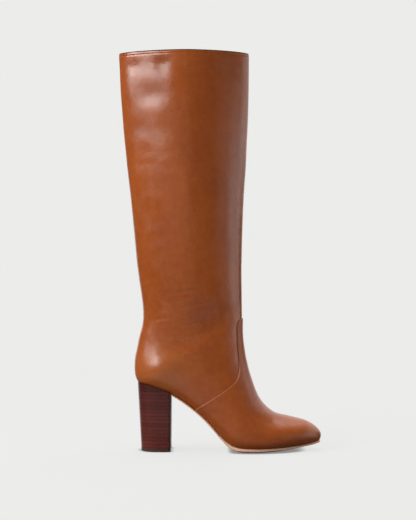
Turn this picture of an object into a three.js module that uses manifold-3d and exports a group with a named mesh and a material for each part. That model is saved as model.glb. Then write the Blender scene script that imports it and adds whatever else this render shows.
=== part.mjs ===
// Knee-high pull-on boot for the right foot, with a stacked leather block heel and a close-cut leather sole.
// Millimetres. The origin is on the floor at the centre of the heel's tread, +X runs to the toe, +Y to the
// wearer's left, which is the inner side of a right boot, and +Z is up.
//
// The boot is built on one form, the shape that last and leg block give the leather. Its sections fan round
// the ankle: level across the shaft, slanting through the heel, and nearly upright across the toes. The
// upper, the vamp laid over it, the insole and the sole's outline are all worked out from that form.
import * as THREE from "three";
import { mergeVertices } from "three/addons/utils/BufferGeometryUtils.js";
import Module from "manifold-3d";

const wasm = await Module();
wasm.setup();

// ---------------------------------------------------------------- driving dimensions
const UPPER_WALL = 1.8; // shaft leather and its lining
const VAMP_LEATHER = 1.1;
const GAP = 0.3; // clearance between curved pieces that are glued or sewn in the real boot
const INSOLE_THICKNESS = 2.4;
const LASTING_MARGIN = 12; // how far the upper turns in under the insole at its sides
const LASTING_ENDS = 17; // and at the heel and the toe
const SOLE_EDGE = 0.7; // how far the sole stands out past the leather above it
const TREAD_INSET = 0.19; // share of the sole's width, at each side, over which it rises to its edge
const TOE_STATIONS = [22, 17, 12, 8, 5, 3, 1.5, 0.5, 0.1]; // back from the sole's tip, for its round end

const HEEL = {
  backAtTread: -18.8,
  backAtSeat: -23.2,
  breastAtTread: 17.7,
  breastAtSeat: 18.4,
  halfWidthAtTread: 22.6,
  halfWidthAtSeat: 25.6,
  seatHeight: 88,
  cornerRadius: 4,
  breastHollow: 1.4,
  backPower: 2.35, // of the superellipse round the back
  widest: 0.62, // of the way from the back to the breast, where the round back ends
};
const TOP_PIECE_THICKNESS = 5;
const LIFT_COUNT = 19;
const LIFT_THICKNESS = 4.35;

const POINTS_AROUND = 32;
const STATION = 5; // the underside is straight between stations this far apart
const MERGE_WITHIN = 1e-4; // points closer than this are one
const FAR = 700; // past the boot in every direction, for the cutting blocks
const SEAT_RANGE = [-80, 240]; // the underside is level beyond these

// ---------------------------------------------------------------- the form
// A row for each main section. Its plane holds a front point and a back point, and is square to the boot's
// side. lateral and medial are the half widths at the widest place, which lies widest of the way from the
// back point to the front one. lean moves the front point to the inner side, and axis the whole section. The
// powers are those of a superellipse: 2 is an ellipse and more is squarer.
const COLUMNS = [
  "frontX", "frontZ", "backX", "backZ", "lateral", "medial", "axis", "lean", "widest",
  "frontPower", "backPower",
];
const FORM_ROWS = [
  // shaft, from the collar down
  [115.2, 494.5, -47.8, 494.5, 40.5, 40.5, 0.0, 0.0, 0.5, 2.0, 2.05],
  [114.2, 430.0, -44.2, 430.0, 40.0, 40.0, 0.0, 0.0, 0.5, 2.0, 2.1],
  [111.4, 362.0, -38.1, 362.0, 39.0, 39.0, 0.0, 0.0, 0.49, 2.0, 2.1],
  [107.6, 296.0, -30.8, 296.0, 37.2, 37.2, 0.0, 0.0, 0.48, 2.0, 2.15],
  [105.9, 234.0, -24.6, 232.0, 35.2, 35.2, 0.0, 0.0, 0.46, 2.0, 2.2],
  // ankle and heel
  [105.8, 195.0, -16.6, 170.0, 33.4, 33.2, 0.0, 0.0, 0.43, 2.0, 2.25],
  [105.7, 178.5, -22.2, 138.0, 32.4, 32.0, 0.0, 0.0, 0.4, 2.0, 2.35],
  [105.6, 168.0, -27.8, 110.0, 31.4, 30.8, 0.0, 0.0, 0.37, 2.0, 2.5],
  [105.6, 159.0, -24.3, 87.5, 30.8, 30.0, 0.0, 0.0, 0.36, 2.0, 2.7],
  // seat and waist
  [105.8, 146.0, -6.0, 77.8, 30.8, 29.6, 0.0, 0.0, 0.36, 2.0, 3.0],
  [107.3, 129.3, 22.0, 66.5, 31.2, 29.4, 0.0, 0.5, 0.36, 2.0, 3.1],
  [110.6, 109.8, 50.0, 46.5, 32.8, 29.8, 0.0, 1.5, 0.35, 2.0, 3.1],
  [117.1, 86.8, 75.0, 21.5, 36.4, 32.4, 0.0, 2.5, 0.33, 2.05, 3.0],
  // ball and toes
  [127.4, 62.7, 96.0, 4.0, 40.4, 36.2, 0.0, 3.5, 0.3, 2.1, 3.0],
  [144.4, 45.7, 121.0, 1.0, 41.2, 39.2, 0.8, 4.0, 0.3, 2.15, 3.0],
  [164.8, 39.5, 150.0, 3.0, 37.2, 37.4, 2.2, 3.5, 0.34, 2.2, 2.8],
  [183.0, 34.8, 176.0, 6.9, 29.4, 30.2, 3.8, 2.0, 0.38, 2.2, 2.6],
  [193.2, 29.9, 189.6, 9.4, 21.6, 22.4, 4.6, 1.0, 0.42, 2.15, 2.4],
  [199.8, 25.0, 198.2, 11.4, 13.6, 14.0, 5.0, 0.4, 0.45, 2.1, 2.3],
  [203.1, 21.0, 202.4, 14.0, 6.6, 6.8, 5.3, 0.1, 0.5, 2.0, 2.1],
  [204.0, 18.0, 204.0, 18.0, 0.0, 0.0, 5.4, 0.0, 0.5, 2.0, 2.0],
].map((row) => Object.fromEntries(COLUMNS.map((column, i) => [column, row[i]])));
const LAST_ROW = FORM_ROWS.length - 1;
const SHAFT_ROWS = 4; // rows down to here take one section each, and those of the foot two
const SEAT_ROW = 6; // the underside cuts the form from this row on
const NUDGE = 0.03; // the step in rows and in turn over which the form's slope is taken
const FEATHER_STEPS = 120;
const HALVINGS = 30; // of the turn in which the underside's edge is looked for

// The boot's underside from heel to toe, a row for each station: seat is the height of the leather's lower
// edge, and middle and edge are the outsole's thickness along its middle and at its edge.
const SOLE_ROWS = [
  { x: -26, seat: 87.4, middle: 1.6, edge: 1.6 },
  { x: -12, seat: 83.2, middle: 1.6, edge: 1.6 },
  { x: 4, seat: 78.4, middle: 1.6, edge: 1.6 },
  { x: 18, seat: 71.8, middle: 1.7, edge: 1.6 },
  { x: 30, seat: 64.6, middle: 2.4, edge: 1.8 },
  { x: 44, seat: 54.8, middle: 3.0, edge: 2.1 },
  { x: 58, seat: 43.0, middle: 3.5, edge: 2.4 },
  { x: 70, seat: 30.8, middle: 4.0, edge: 2.8 },
  { x: 80, seat: 19.8, middle: 4.2, edge: 3.1 },
  { x: 90, seat: 10.4, middle: 4.4, edge: 3.1 },
  { x: 98, seat: 6.2, middle: 4.4, edge: 2.8 },
  { x: 106, seat: 4.7, middle: 4.4, edge: 2.5 },
  { x: 126, seat: 4.7, middle: 4.4, edge: 2.4 },
  { x: 144, seat: 6.0, middle: 4.2, edge: 2.4 },
  { x: 166, seat: 8.8, middle: 3.8, edge: 2.3 },
  { x: 186, seat: 12.0, middle: 3.2, edge: 2.2 },
  { x: 207, seat: 15.6, middle: 2.6, edge: 2.1 },
];

// The vamp's seam from the side, from the tab's top at the shin down to the sole, as x and z.
const VAMP_SEAM = [
  [109.0, 164.6], [105.6, 163.9], [102.6, 161.2], [101.0, 157.0], [100.5, 148.0], [100.9, 130.0],
  [102.0, 112.0], [102.3, 101.0], [100.9, 93.0], [97.0, 86.0], [86.0, 77.0], [68.0, 65.5], [46.0, 51.0],
];

// ---------------------------------------------------------------- curves and surfaces
// Evenly spaced numbers, with both ends: one more than count.
function spread(from, to, count) {
  return Array.from({ length: count + 1 }, (_, i) => from + ((to - from) * i) / count);
}

// Both ends and every station between them.
function stations(from, to) {
  const first = Math.floor(from / STATION) + 1;
  const last = Math.ceil(to / STATION) - 1;
  return [from, ...spread(first * STATION, last * STATION, last - first), to];
}

// A column of the form at u, counted in rows, on a Catmull-Rom curve through the rows.
function formValue(column, u) {
  const i = Math.min(Math.floor(u), LAST_ROW - 1);
  const t = u - i;
  const at = (k) => FORM_ROWS[k][column];
  const b = at(i);
  const c = at(i + 1);
  const a = i > 0 ? at(i - 1) : 2 * b - c;
  const d = i + 2 <= LAST_ROW ? at(i + 2) : 2 * c - b;
  return 0.5 * (2 * b + (c - a) * t + (2 * a - 5 * b + 4 * c - d) * t * t + (3 * b - a - 3 * c + d) * t ** 3);
}

// A column of the sole's table at x, on a monotone cubic, so that level stretches stay level.
function soleValue(column, x) {
  const rows = SOLE_ROWS;
  const slope = (k) => (rows[k + 1][column] - rows[k][column]) / (rows[k + 1].x - rows[k].x);
  const tangent = (k) => {
    if (k === 0) return slope(0);
    if (k === rows.length - 1) return slope(k - 1);
    const before = slope(k - 1);
    const after = slope(k);
    return before * after <= 0 ? 0 : (2 * before * after) / (before + after);
  };
  if (x <= rows[0].x) return rows[0][column] + slope(0) * (x - rows[0].x);
  let k = rows.length - 2;
  while (k > 0 && x < rows[k].x) k -= 1;
  const width = rows[k + 1].x - rows[k].x;
  const t = Math.min((x - rows[k].x) / width, 1);
  const start = rows[k][column];
  const end = rows[k + 1][column];
  return (
    start * (2 * t ** 3 - 3 * t ** 2 + 1) +
    end * (3 * t ** 2 - 2 * t ** 3) +
    width * (tangent(k) * (t ** 3 - 2 * t ** 2 + t) + tangent(k + 1) * (t ** 3 - t ** 2))
  );
}

// The height of the leather's lower edge at x, straight from station to station.
function seatHeight(x) {
  const near = Math.max(Math.min(x, SEAT_RANGE[1]), SEAT_RANGE[0]);
  const start = Math.floor(near / STATION) * STATION;
  const share = (near - start) / STATION;
  return soleValue("seat", start) * (1 - share) + soleValue("seat", start + STATION) * share;
}

// The form's point at u and at angle round the section: 0 is the front, a quarter turn the outer side.
function formPoint(u, angle) {
  const row = Object.fromEntries(COLUMNS.map((column) => [column, formValue(column, u)]));
  const inFront = Math.cos(angle) >= 0;
  const power = 2 / (inFront ? row.frontPower : row.backPower);
  const along = Math.abs(Math.cos(angle)) ** power;
  const share = inFront ? row.widest + (1 - row.widest) * along : row.widest * (1 - along);
  const outer = Math.sin(angle) > 0;
  const reach = (outer ? row.lateral : row.medial) * Math.abs(Math.sin(angle)) ** power;
  return new THREE.Vector3(
    row.backX + (row.frontX - row.backX) * share,
    row.axis + row.lean * share + (outer ? -reach : reach),
    row.backZ + (row.frontZ - row.backZ) * share,
  );
}

// The same point moved out of the form by offset, square to its surface.
function offsetPoint(u, angle, offset) {
  const near = Math.min(u, LAST_ROW - NUDGE);
  const before = formPoint(Math.max(near - NUDGE, 0), angle);
  const along = formPoint(Math.min(near + NUDGE, LAST_ROW - NUDGE), angle).sub(before);
  const around = formPoint(near, angle + NUDGE).sub(formPoint(near, angle - NUDGE));
  return formPoint(u, angle).addScaledVector(around.cross(along).normalize(), offset);
}

// ---------------------------------------------------------------- solids
// A solid from a closed geometry, whose vertices are merged first.
function solidFrom(geometry) {
  geometry.deleteAttribute("normal");
  geometry.deleteAttribute("uv");
  const merged = mergeVertices(geometry, MERGE_WITHIN);
  return new wasm.Manifold(
    new wasm.Mesh({
      numProp: 3,
      vertProperties: merged.attributes.position.array,
      triVerts: new Uint32Array(merged.index.array),
    }),
  );
}

// A solid from a list of points and the faces between them, each face a list of point numbers.
function solidOf(points, faces) {
  const triangles = faces.flatMap((face) => face.slice(2).map((_, i) => [face[0], face[i + 1], face[i + 2]]));
  return solidFrom(new THREE.BufferGeometry().setFromPoints(points).setIndex(triangles.flat()));
}

// A solid through rings with the same number of points, closed by flat faces at both ends.
function loft(rings) {
  const count = rings[0].length;
  const faces = [];
  for (let i = 0; i < rings.length - 1; i += 1) {
    for (let j = 0; j < count; j += 1) {
      const k = (j + 1) % count;
      faces.push([i * count + j, i * count + k, (i + 1) * count + k, (i + 1) * count + j]);
    }
  }
  const end = (rings.length - 1) * count;
  faces.push(rings[0].map((_, j) => count - 1 - j));
  faces.push(rings[0].map((_, j) => end + j));
  return solidOf(rings.flat(), faces);
}

// The form grown by offset. rise lifts its top past the collar, to cut the collar open.
function form(offset, rise = 0) {
  const footSections = 2 * (LAST_ROW - SHAFT_ROWS);
  const sections = [
    ...spread(0, SHAFT_ROWS, SHAFT_ROWS).slice(0, -1),
    ...spread(SHAFT_ROWS, LAST_ROW, footSections).slice(0, -1),
  ];
  const angles = spread(0, -2 * Math.PI, POINTS_AROUND).slice(0, -1);
  const rings = sections.map((u) => angles.map((angle) => offsetPoint(u, angle, offset)));
  if (rise > 0) rings.unshift(rings[0].map((p) => new THREE.Vector3(p.x, p.y, p.z + rise)));
  const points = rings.flat();
  const tip = FORM_ROWS[LAST_ROW];
  points.push(new THREE.Vector3(tip.frontX + offset, tip.axis, tip.frontZ));
  const count = POINTS_AROUND;
  const faces = [];
  for (let i = 0; i < rings.length - 1; i += 1) {
    for (let j = 0; j < count; j += 1) {
      const k = (j + 1) % count;
      faces.push([i * count + j, (i + 1) * count + j, (i + 1) * count + k, i * count + k]);
    }
  }
  const end = (rings.length - 1) * count;
  for (let j = 0; j < count; j += 1) faces.push([end + j, points.length - 1, end + ((j + 1) % count)]);
  faces.push(Array.from({ length: count }, (_, j) => j));
  return solidOf(points, faces);
}

// A slab along the underside through the places given in x, between the heights low and high, and between
// the two sides at each place.
function underLayer(places, sides, low, high) {
  return loft(
    places.map((x) => {
      const [outer, inner] = sides(x);
      return [
        new THREE.Vector3(x, outer, high(x)),
        new THREE.Vector3(x, outer, low(x)),
        new THREE.Vector3(x, inner, low(x)),
        new THREE.Vector3(x, inner, high(x)),
      ];
    }),
  );
}

// Everything higher than the underside by more than height, and everything lower.
const WHOLE_LENGTH = [-FAR, ...stations(...SEAT_RANGE), FAR];
const wholeWidth = () => [-FAR, FAR];
const aboveSeat = (height) => underLayer(WHOLE_LENGTH, wholeWidth, (x) => seatHeight(x) + height, () => FAR);
const belowSeat = (height) => underLayer(WHOLE_LENGTH, wholeWidth, () => -FAR, (x) => seatHeight(x) + height);

// Where the form grown by offset meets the underside, as [x, y] from heel to toe on one side.
function featherLine(offset, side) {
  const line = [];
  for (const u of spread(SEAT_ROW, LAST_ROW, FEATHER_STEPS).slice(0, -1)) {
    const pointAt = (turn) => offsetPoint(u, side * turn, offset);
    const isAbove = (turn) => pointAt(turn).z > seatHeight(pointAt(turn).x);
    let above = Math.PI / 2;
    let below = Math.PI;
    if (isAbove(below) || !isAbove(above)) continue;
    for (let halving = 0; halving < HALVINGS; halving += 1) {
      const middle = (above + below) / 2;
      if (isAbove(middle)) above = middle;
      else below = middle;
    }
    const { x, y } = pointAt(above);
    if (!line.length || x > line[line.length - 1][0] + GAP) line.push([x, y]);
  }
  return line;
}

// How far to the side a line of [x, y] points lies at x.
function lineAt(line, x) {
  const after = Math.max(line.findIndex((point) => point[0] >= x), 1);
  const [x0, y0] = line[after - 1];
  const [x1, y1] = line[after];
  return y0 + ((y1 - y0) * (x - x0)) / (x1 - x0);
}

// ---------------------------------------------------------------- the pieces
// The upper: shaft and foot in one wall, open at the collar, and underneath inside its lasting margin.
function makeUpper() {
  const outer = featherLine(0, 1);
  const inner = featherLine(0, -1);
  const heel = outer[0][0];
  const toe = outer[outer.length - 1][0];
  const opening = underLayer(
    stations(heel + LASTING_ENDS, toe - LASTING_ENDS),
    (x) => [lineAt(outer, x) + LASTING_MARGIN, lineAt(inner, x) - LASTING_MARGIN],
    (x) => seatHeight(x) - UPPER_WALL,
    (x) => seatHeight(x) + 2 * UPPER_WALL,
  );
  const inside = form(-UPPER_WALL, 5).intersect(aboveSeat(UPPER_WALL));
  return form(0).intersect(aboveSeat(0)).subtract(inside).subtract(opening);
}

// The vamp: one piece of leather over the forefoot, with a round-ended tab up the shin.
function makeVamp() {
  const [top] = VAMP_SEAM;
  const bottom = VAMP_SEAM[VAMP_SEAM.length - 1];
  const pastToe = [[bottom[0], -FAR], [FAR, -FAR], [FAR, top[1]]];
  const outline = new THREE.Shape([...VAMP_SEAM, ...pastToe].map(([x, z]) => new THREE.Vector2(x, z)));
  const block = new THREE.ExtrudeGeometry(outline, { depth: 2 * FAR, bevelEnabled: false });
  block.rotateX(Math.PI / 2).translate(0, FAR, 0);
  return form(GAP + VAMP_LEATHER).subtract(form(GAP)).intersect(solidFrom(block)).intersect(aboveSeat(0));
}

// The insole lies on the lasting margin, inside the upper's wall.
function makeInsole() {
  const from = UPPER_WALL + GAP;
  return form(-UPPER_WALL - GAP)
    .intersect(aboveSeat(from))
    .intersect(belowSeat(from + INSOLE_THICKNESS));
}

// The outsole runs from the heel's breast to the toe. It is level across its middle and thins to its edge.
function makeOutsole() {
  const reach = GAP + VAMP_LEATHER + SOLE_EDGE;
  const outer = featherLine(reach, 1);
  const inner = featherLine(reach, -1);
  const toe = outer[outer.length - 1][0];
  const round = TOE_STATIONS.map((back) => toe - back);
  return loft(
    [...stations(HEEL.breastAtSeat + GAP, round[0]), ...round.slice(1)].map((x) => {
      const left = lineAt(outer, x);
      const right = lineAt(inner, x);
      const leftTread = left + (right - left) * TREAD_INSET;
      const rightTread = right + (left - right) * TREAD_INSET;
      const top = seatHeight(x) - GAP;
      const edge = top - soleValue("edge", x);
      const tread = top - soleValue("middle", x);
      const leftHalf = [[left, top], [left, edge], [leftTread, tread]];
      const rightHalf = [[rightTread, tread], [right, edge], [right, top]];
      return [...leftHalf, ...rightHalf].map(([y, z]) => new THREE.Vector3(x, y, z));
    }),
  );
}

// The heel's outline at a height: a round back, straight sides, rounded corners and a hollowed breast.
function heelOutline(z) {
  const share = z / HEEL.seatHeight;
  const mix = (tread, seat) => tread + (seat - tread) * share;
  const back = mix(HEEL.backAtTread, HEEL.backAtSeat);
  const breast = mix(HEEL.breastAtTread, HEEL.breastAtSeat);
  const half = mix(HEEL.halfWidthAtTread, HEEL.halfWidthAtSeat);
  const roundness = 2 / HEEL.backPower;
  const widest = back + (breast - back) * HEEL.widest;
  const backCurve = spread(-Math.PI / 2, Math.PI / 2, 16).map((turn) => [
    widest - (widest - back) * Math.cos(turn) ** roundness,
    Math.sign(turn) * half * Math.abs(Math.sin(turn)) ** roundness,
  ]);
  const centre = [breast - HEEL.cornerRadius, half - HEEL.cornerRadius];
  const corner = spread(0, Math.PI / 2, 3).map((turn) => [
    centre[0] + HEEL.cornerRadius * Math.sin(turn),
    centre[1] + HEEL.cornerRadius * Math.cos(turn),
  ]);
  const otherCorner = corner.map(([x, y]) => [x, -y]).reverse();
  const breastCurve = [0.5, 0, -0.5].map((side) => [
    breast - HEEL.breastHollow * (1 - side * side),
    side * centre[1],
  ]);
  const outline = [...backCurve, ...corner, ...breastCurve, ...otherCorner];
  return outline.map(([x, y]) => new THREE.Vector3(x, y, z)).reverse();
}

// One leather lift of the heel's stack. The upper lifts are cut to the slope of the seat.
function makeLift(index) {
  const bottom = TOP_PIECE_THICKNESS + index * LIFT_THICKNESS;
  const block = loft([heelOutline(bottom), heelOutline(bottom + LIFT_THICKNESS)]);
  return block.intersect(belowSeat(-GAP));
}

// The top piece is the part of the heel that treads on the floor.
const makeTopPiece = () => loft([heelOutline(0), heelOutline(TOP_PIECE_THICKNESS)]);

// ---------------------------------------------------------------- the boot
const MATERIALS = {
  upperLeather: new THREE.MeshStandardMaterial({ color: 0x9a4f24, roughness: 0.38, metalness: 0 }),
  vampLeather: new THREE.MeshStandardMaterial({ color: 0x94491f, roughness: 0.38, metalness: 0 }),
  insoleLeather: new THREE.MeshStandardMaterial({ color: 0xc79c6c, roughness: 0.7, metalness: 0 }),
  soleLeather: new THREE.MeshStandardMaterial({ color: 0xdba37a, roughness: 0.6, metalness: 0 }),
  heelLeather: new THREE.MeshStandardMaterial({ color: 0x3d1612, roughness: 0.35, metalness: 0 }),
  heelRubber: new THREE.MeshStandardMaterial({ color: 0x33211c, roughness: 0.6, metalness: 0 }),
};

// A named mesh of a solid.
function meshOf(name, solid, material) {
  const made = solid.getMesh();
  const geometry = new THREE.BufferGeometry();
  const positions = new Float32Array(made.numVert * 3);
  for (let i = 0; i < made.numVert; i += 1) {
    positions.set(made.vertProperties.subarray(i * made.numProp, i * made.numProp + 3), i * 3);
  }
  geometry.setAttribute("position", new THREE.BufferAttribute(positions, 3));
  geometry.setIndex(new THREE.BufferAttribute(made.triVerts, 1));
  const mesh = new THREE.Mesh(geometry.toNonIndexed(), material);
  mesh.geometry.computeVertexNormals();
  mesh.name = name;
  return mesh;
}

const boot = new THREE.Group();
boot.add(meshOf("upper", makeUpper(), MATERIALS.upperLeather));
boot.add(meshOf("vamp", makeVamp(), MATERIALS.vampLeather));
boot.add(meshOf("insole", makeInsole(), MATERIALS.insoleLeather));
boot.add(meshOf("outsole", makeOutsole(), MATERIALS.soleLeather));
const heel = new THREE.Group();
heel.add(meshOf("top_piece", makeTopPiece(), MATERIALS.heelRubber));
for (let i = 0; i < LIFT_COUNT; i += 1) {
  const number = String(i + 1).padStart(2, "0");
  heel.add(meshOf(`heel_lift_${number}`, makeLift(i), MATERIALS.heelLeather));
}
boot.add(heel);

export default boot;
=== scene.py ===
"""A knee-high boot for the right foot: its leathers, seams, stacked heel and sole, in a plain studio.

The boot's own tables are in millimetres, as its maker would write them, and MM turns them into Blender's
metres. The origin is on the floor under the heel, +X runs to the toe, +Y to the boot's inner side and +Z up.
"""

import logging
import math
from dataclasses import dataclass, field
from enum import Enum
from typing import Callable, Sequence

import bpy
import numpy as np
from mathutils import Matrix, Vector, noise


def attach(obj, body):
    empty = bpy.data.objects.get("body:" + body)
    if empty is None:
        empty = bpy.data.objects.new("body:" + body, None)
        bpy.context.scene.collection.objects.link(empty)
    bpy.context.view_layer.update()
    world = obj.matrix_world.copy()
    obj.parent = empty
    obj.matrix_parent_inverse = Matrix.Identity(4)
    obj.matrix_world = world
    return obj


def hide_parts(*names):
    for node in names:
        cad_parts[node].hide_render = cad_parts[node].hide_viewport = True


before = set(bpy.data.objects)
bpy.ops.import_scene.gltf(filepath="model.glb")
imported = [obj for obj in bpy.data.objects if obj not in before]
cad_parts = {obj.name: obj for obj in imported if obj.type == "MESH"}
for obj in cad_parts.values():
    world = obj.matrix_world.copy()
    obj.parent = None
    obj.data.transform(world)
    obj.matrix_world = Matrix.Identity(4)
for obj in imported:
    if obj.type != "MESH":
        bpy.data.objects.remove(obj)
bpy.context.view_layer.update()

LOG = logging.getLogger("boot")
MM = 0.001
Array = np.ndarray
Colour = tuple[float, float, float]


# ---------------------------------------------------------------- the form and the underside
# Each section runs from its back end to its front end. Lateral and medial are its half widths on the outer
# and inner sides, axis is how far to the inner side its back end lies, lean how much further its front end
# does, widest the share of the way forward where it is widest, and the powers are those of its curve in front
# of there and behind: 2 is an ellipse, less is more pointed and more is squarer.
FORM_COLUMNS = (
    "front_x", "front_z", "back_x", "back_z", "lateral", "medial", "axis", "lean", "widest",
    "front_power", "back_power",
)
FORM_ROWS = (
    # shaft, from the collar down
    (115.2, 494.5, -47.8, 494.5, 40.5, 40.5, 0.0, 0.0, 0.52, 1.62, 1.6),
    (114.2, 430.0, -44.2, 430.0, 40.0, 40.0, 0.0, 0.0, 0.52, 1.64, 1.64),
    (111.4, 362.0, -38.1, 362.0, 39.0, 39.0, 0.0, 0.0, 0.51, 1.68, 1.7),
    (107.6, 296.0, -30.8, 296.0, 36.8, 36.8, 0.0, 0.0, 0.49, 1.76, 1.8),
    (105.9, 234.0, -24.7, 232.0, 33.8, 33.8, 0.0, 0.0, 0.46, 1.84, 2.0),
    # ankle and heel
    (106.0, 195.0, -17.1, 170.0, 30.8, 30.6, 0.0, 0.0, 0.43, 1.9, 2.1),
    (106.2, 178.5, -22.7, 138.0, 28.6, 28.2, 0.0, 0.0, 0.4, 1.95, 2.2),
    (106.3, 168.0, -27.5, 110.0, 28.8, 28.2, 0.0, 0.0, 0.37, 2.0, 2.35),
    (106.1, 159.0, -24.3, 87.5, 30.9, 30.1, 0.0, 0.0, 0.36, 2.0, 2.5),
    # seat and waist
    (106.2, 146.1, -6.0, 77.8, 30.8, 29.6, 0.0, 0.0, 0.36, 2.0, 2.9),
    (107.8, 129.5, 22.0, 66.5, 31.2, 29.4, 0.0, 0.5, 0.36, 2.0, 3.1),
    (111.2, 110.1, 50.0, 46.5, 32.8, 29.8, 0.0, 1.5, 0.35, 2.0, 3.1),
    (117.6, 87.2, 75.0, 21.5, 36.4, 32.4, 0.0, 2.5, 0.33, 2.05, 3.0),
    # ball and toes
    (127.7, 63.1, 96.0, 4.0, 40.4, 36.2, 0.0, 3.5, 0.3, 2.1, 3.0),
    (144.5, 46.3, 121.0, 1.0, 41.2, 39.2, 0.8, 4.0, 0.3, 2.15, 3.0),
    (164.9, 40.1, 150.0, 3.0, 37.2, 37.4, 2.2, 3.5, 0.34, 2.2, 2.8),
    (183.2, 35.3, 176.0, 6.9, 29.4, 30.2, 3.8, 2.0, 0.38, 2.2, 2.6),
    (193.4, 30.3, 189.6, 8.0, 21.6, 22.4, 4.6, 1.0, 0.42, 2.15, 2.4),
    (199.9, 25.2, 198.2, 9.8, 13.6, 14.0, 5.0, 0.4, 0.45, 2.1, 2.3),
    (203.1, 20.8, 202.4, 13.2, 6.6, 6.8, 5.3, 0.1, 0.5, 2.0, 2.1),
    (204.0, 18.0, 204.0, 18.0, 0.0, 0.0, 5.4, 0.0, 0.5, 2.0, 2.0),
)
COLLAR_HEIGHT = FORM_ROWS[0][1]
LAST_ROW = len(FORM_ROWS) - 1
# the step, in rows and in radians, over which slopes are taken
NUDGE = 0.03
# where turns closer to pi than this stand for a section that stays clear of the underside
CLOSED = 1e-4

# From heel to toe: x, the height of the leather's lower edge, and the outsole's thickness in its middle and
# at its edge.
SOLE_COLUMNS = ("x", "seat", "middle", "edge")
SOLE_ROWS = (
    (-26, 87.4, 1.6, 1.6), (-12, 83.2, 1.6, 1.6), (4, 78.4, 1.6, 1.6), (18, 71.8, 1.7, 1.6),
    (30, 64.6, 2.4, 1.8), (44, 54.8, 3.0, 2.1), (58, 43.0, 3.5, 2.4), (70, 30.8, 4.0, 2.8),
    (80, 19.8, 4.4, 3.6), (90, 11.0, 5.0, 4.2), (98, 7.4, 5.4, 3.6), (106, 6.2, 5.7, 3.2),
    (116, 5.8, 5.5, 3.0), (126, 5.7, 5.4, 2.9), (144, 6.0, 5.0, 2.7), (166, 7.4, 4.4, 2.6),
    (186, 9.8, 3.6, 2.5), (207, 12.8, 2.8, 2.3),
)

# the vamp's seam from the side, from the tab's top at the shin down to the sole, as x and z
VAMP_SEAM = (
    (110.0, 164.6), (105.0, 163.9), (101.4, 161.0), (99.8, 156.5), (99.5, 148.0), (100.2, 130.0),
    (101.6, 112.0), (102.2, 101.0), (100.9, 93.0), (97.0, 86.0), (86.0, 77.0), (68.0, 65.5), (46.0, 51.0),
)


def smooth_step(low: float, high: float, value: Array) -> Array:
    """A soft ramp from 0 at low to 1 at high.

    Args:
        low: Where the ramp leaves 0.
        high: Where it reaches 1.
        value: The numbers to ramp.

    Returns:
        The ramp at each value.
    """
    share = np.clip((np.asarray(value, float) - low) / (high - low), 0.0, 1.0)
    return share * share * (3.0 - 2.0 * share)


def catmull_rom(a: Array, b: Array, c: Array, d: Array, t: Array) -> Array:
    """The Catmull-Rom curve between b and c, at shares t of the way, with a before them and d after."""
    return 0.5 * (2 * b + (c - a) * t + (2 * a - 5 * b + 4 * c - d) * t**2 + (3 * b - a - 3 * c + d) * t**3)


def through_points(points: Sequence[Sequence[float]], count: int) -> Array:
    """A smooth curve through a few points, at even steps along its length.

    Args:
        points: The points to pass through, in the plane or in space.
        count: How many points to return.

    Returns:
        The curve's points, one a row.
    """
    known = np.asarray(points, float)
    padded = np.vstack([2 * known[0] - known[1], known, 2 * known[-1] - known[-2]])
    t = np.linspace(0, 1, 24, endpoint=False)[:, None]
    fine = [catmull_rom(a, b, c, d, t) for a, b, c, d in zip(padded, padded[1:], padded[2:], padded[3:])]
    return even_steps(np.vstack(fine + [known[-1:]]), count)


def lengths_along(line: Array) -> Array:
    """How far along a line each of its points is, its first three columns being x, y and z or x and y."""
    return np.concatenate([[0.0], np.cumsum(np.linalg.norm(np.diff(line[:, :3], axis=0), axis=1))])


def even_steps(line: Array, count: int) -> Array:
    """The same line with its points spread evenly along it.

    Args:
        line: The line's points, one a row.
        count: How many points to return.

    Returns:
        The new points.
    """
    gone = lengths_along(line)
    places = np.linspace(0, gone[-1], count)
    return np.column_stack([np.interp(places, gone, line[:, k]) for k in range(line.shape[1])])


def directions_along(line: Array) -> Array:
    """The unit direction of a line at each of its points.

    Args:
        line: The points, one a row.

    Returns:
        The directions, one a row.
    """
    steps = np.diff(line, axis=0)
    steps /= np.maximum(np.linalg.norm(steps, axis=1, keepdims=True), 1e-9)
    both = np.vstack([steps[:1], steps]) + np.vstack([steps, steps[-1:]])
    return both / np.maximum(np.linalg.norm(both, axis=1, keepdims=True), 1e-9)


class Underside:
    """The line that the boot's leather follows over the sole, from heel to toe."""

    def __init__(self, rows: Sequence[Sequence[float]]) -> None:
        """Keeps the table's columns."""
        self._table = dict(zip(SOLE_COLUMNS, np.array(rows, float).T))

    def value(self, name: str, x: Array) -> Array:
        """A column of the table on a monotone cubic, so that level stretches stay level.

        Args:
            name: The column's name.
            x: Where along the boot, in millimetres.

        Returns:
            The column's value at each x.
        """
        places, heights = self._table["x"], self._table[name]
        slopes = np.diff(heights) / np.diff(places)
        before, after = slopes[:-1], slopes[1:]
        total = np.where(before + after == 0, 1.0, before + after)
        inner = np.where(before * after <= 0, 0.0, 2 * before * after / total)
        tangents = np.concatenate([slopes[:1], inner, slopes[-1:]])
        x = np.asarray(x, float)
        k = np.clip(np.searchsorted(places, x, side="right") - 1, 0, len(places) - 2)
        width = places[k + 1] - places[k]
        t = np.clip((x - places[k]) / width, 0.0, 1.0)
        curve = (
            heights[k] * (2 * t**3 - 3 * t**2 + 1)
            + heights[k + 1] * (3 * t**2 - 2 * t**3)
            + width * (tangents[k] * (t**3 - 2 * t**2 + t) + tangents[k + 1] * (t**3 - t**2))
        )
        return curve + np.minimum(x - places[0], 0.0) * slopes[0]

    def seat(self, x: Array) -> Array:
        """The height of the leather's lower edge at each x."""
        return self.value("seat", x)


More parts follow.
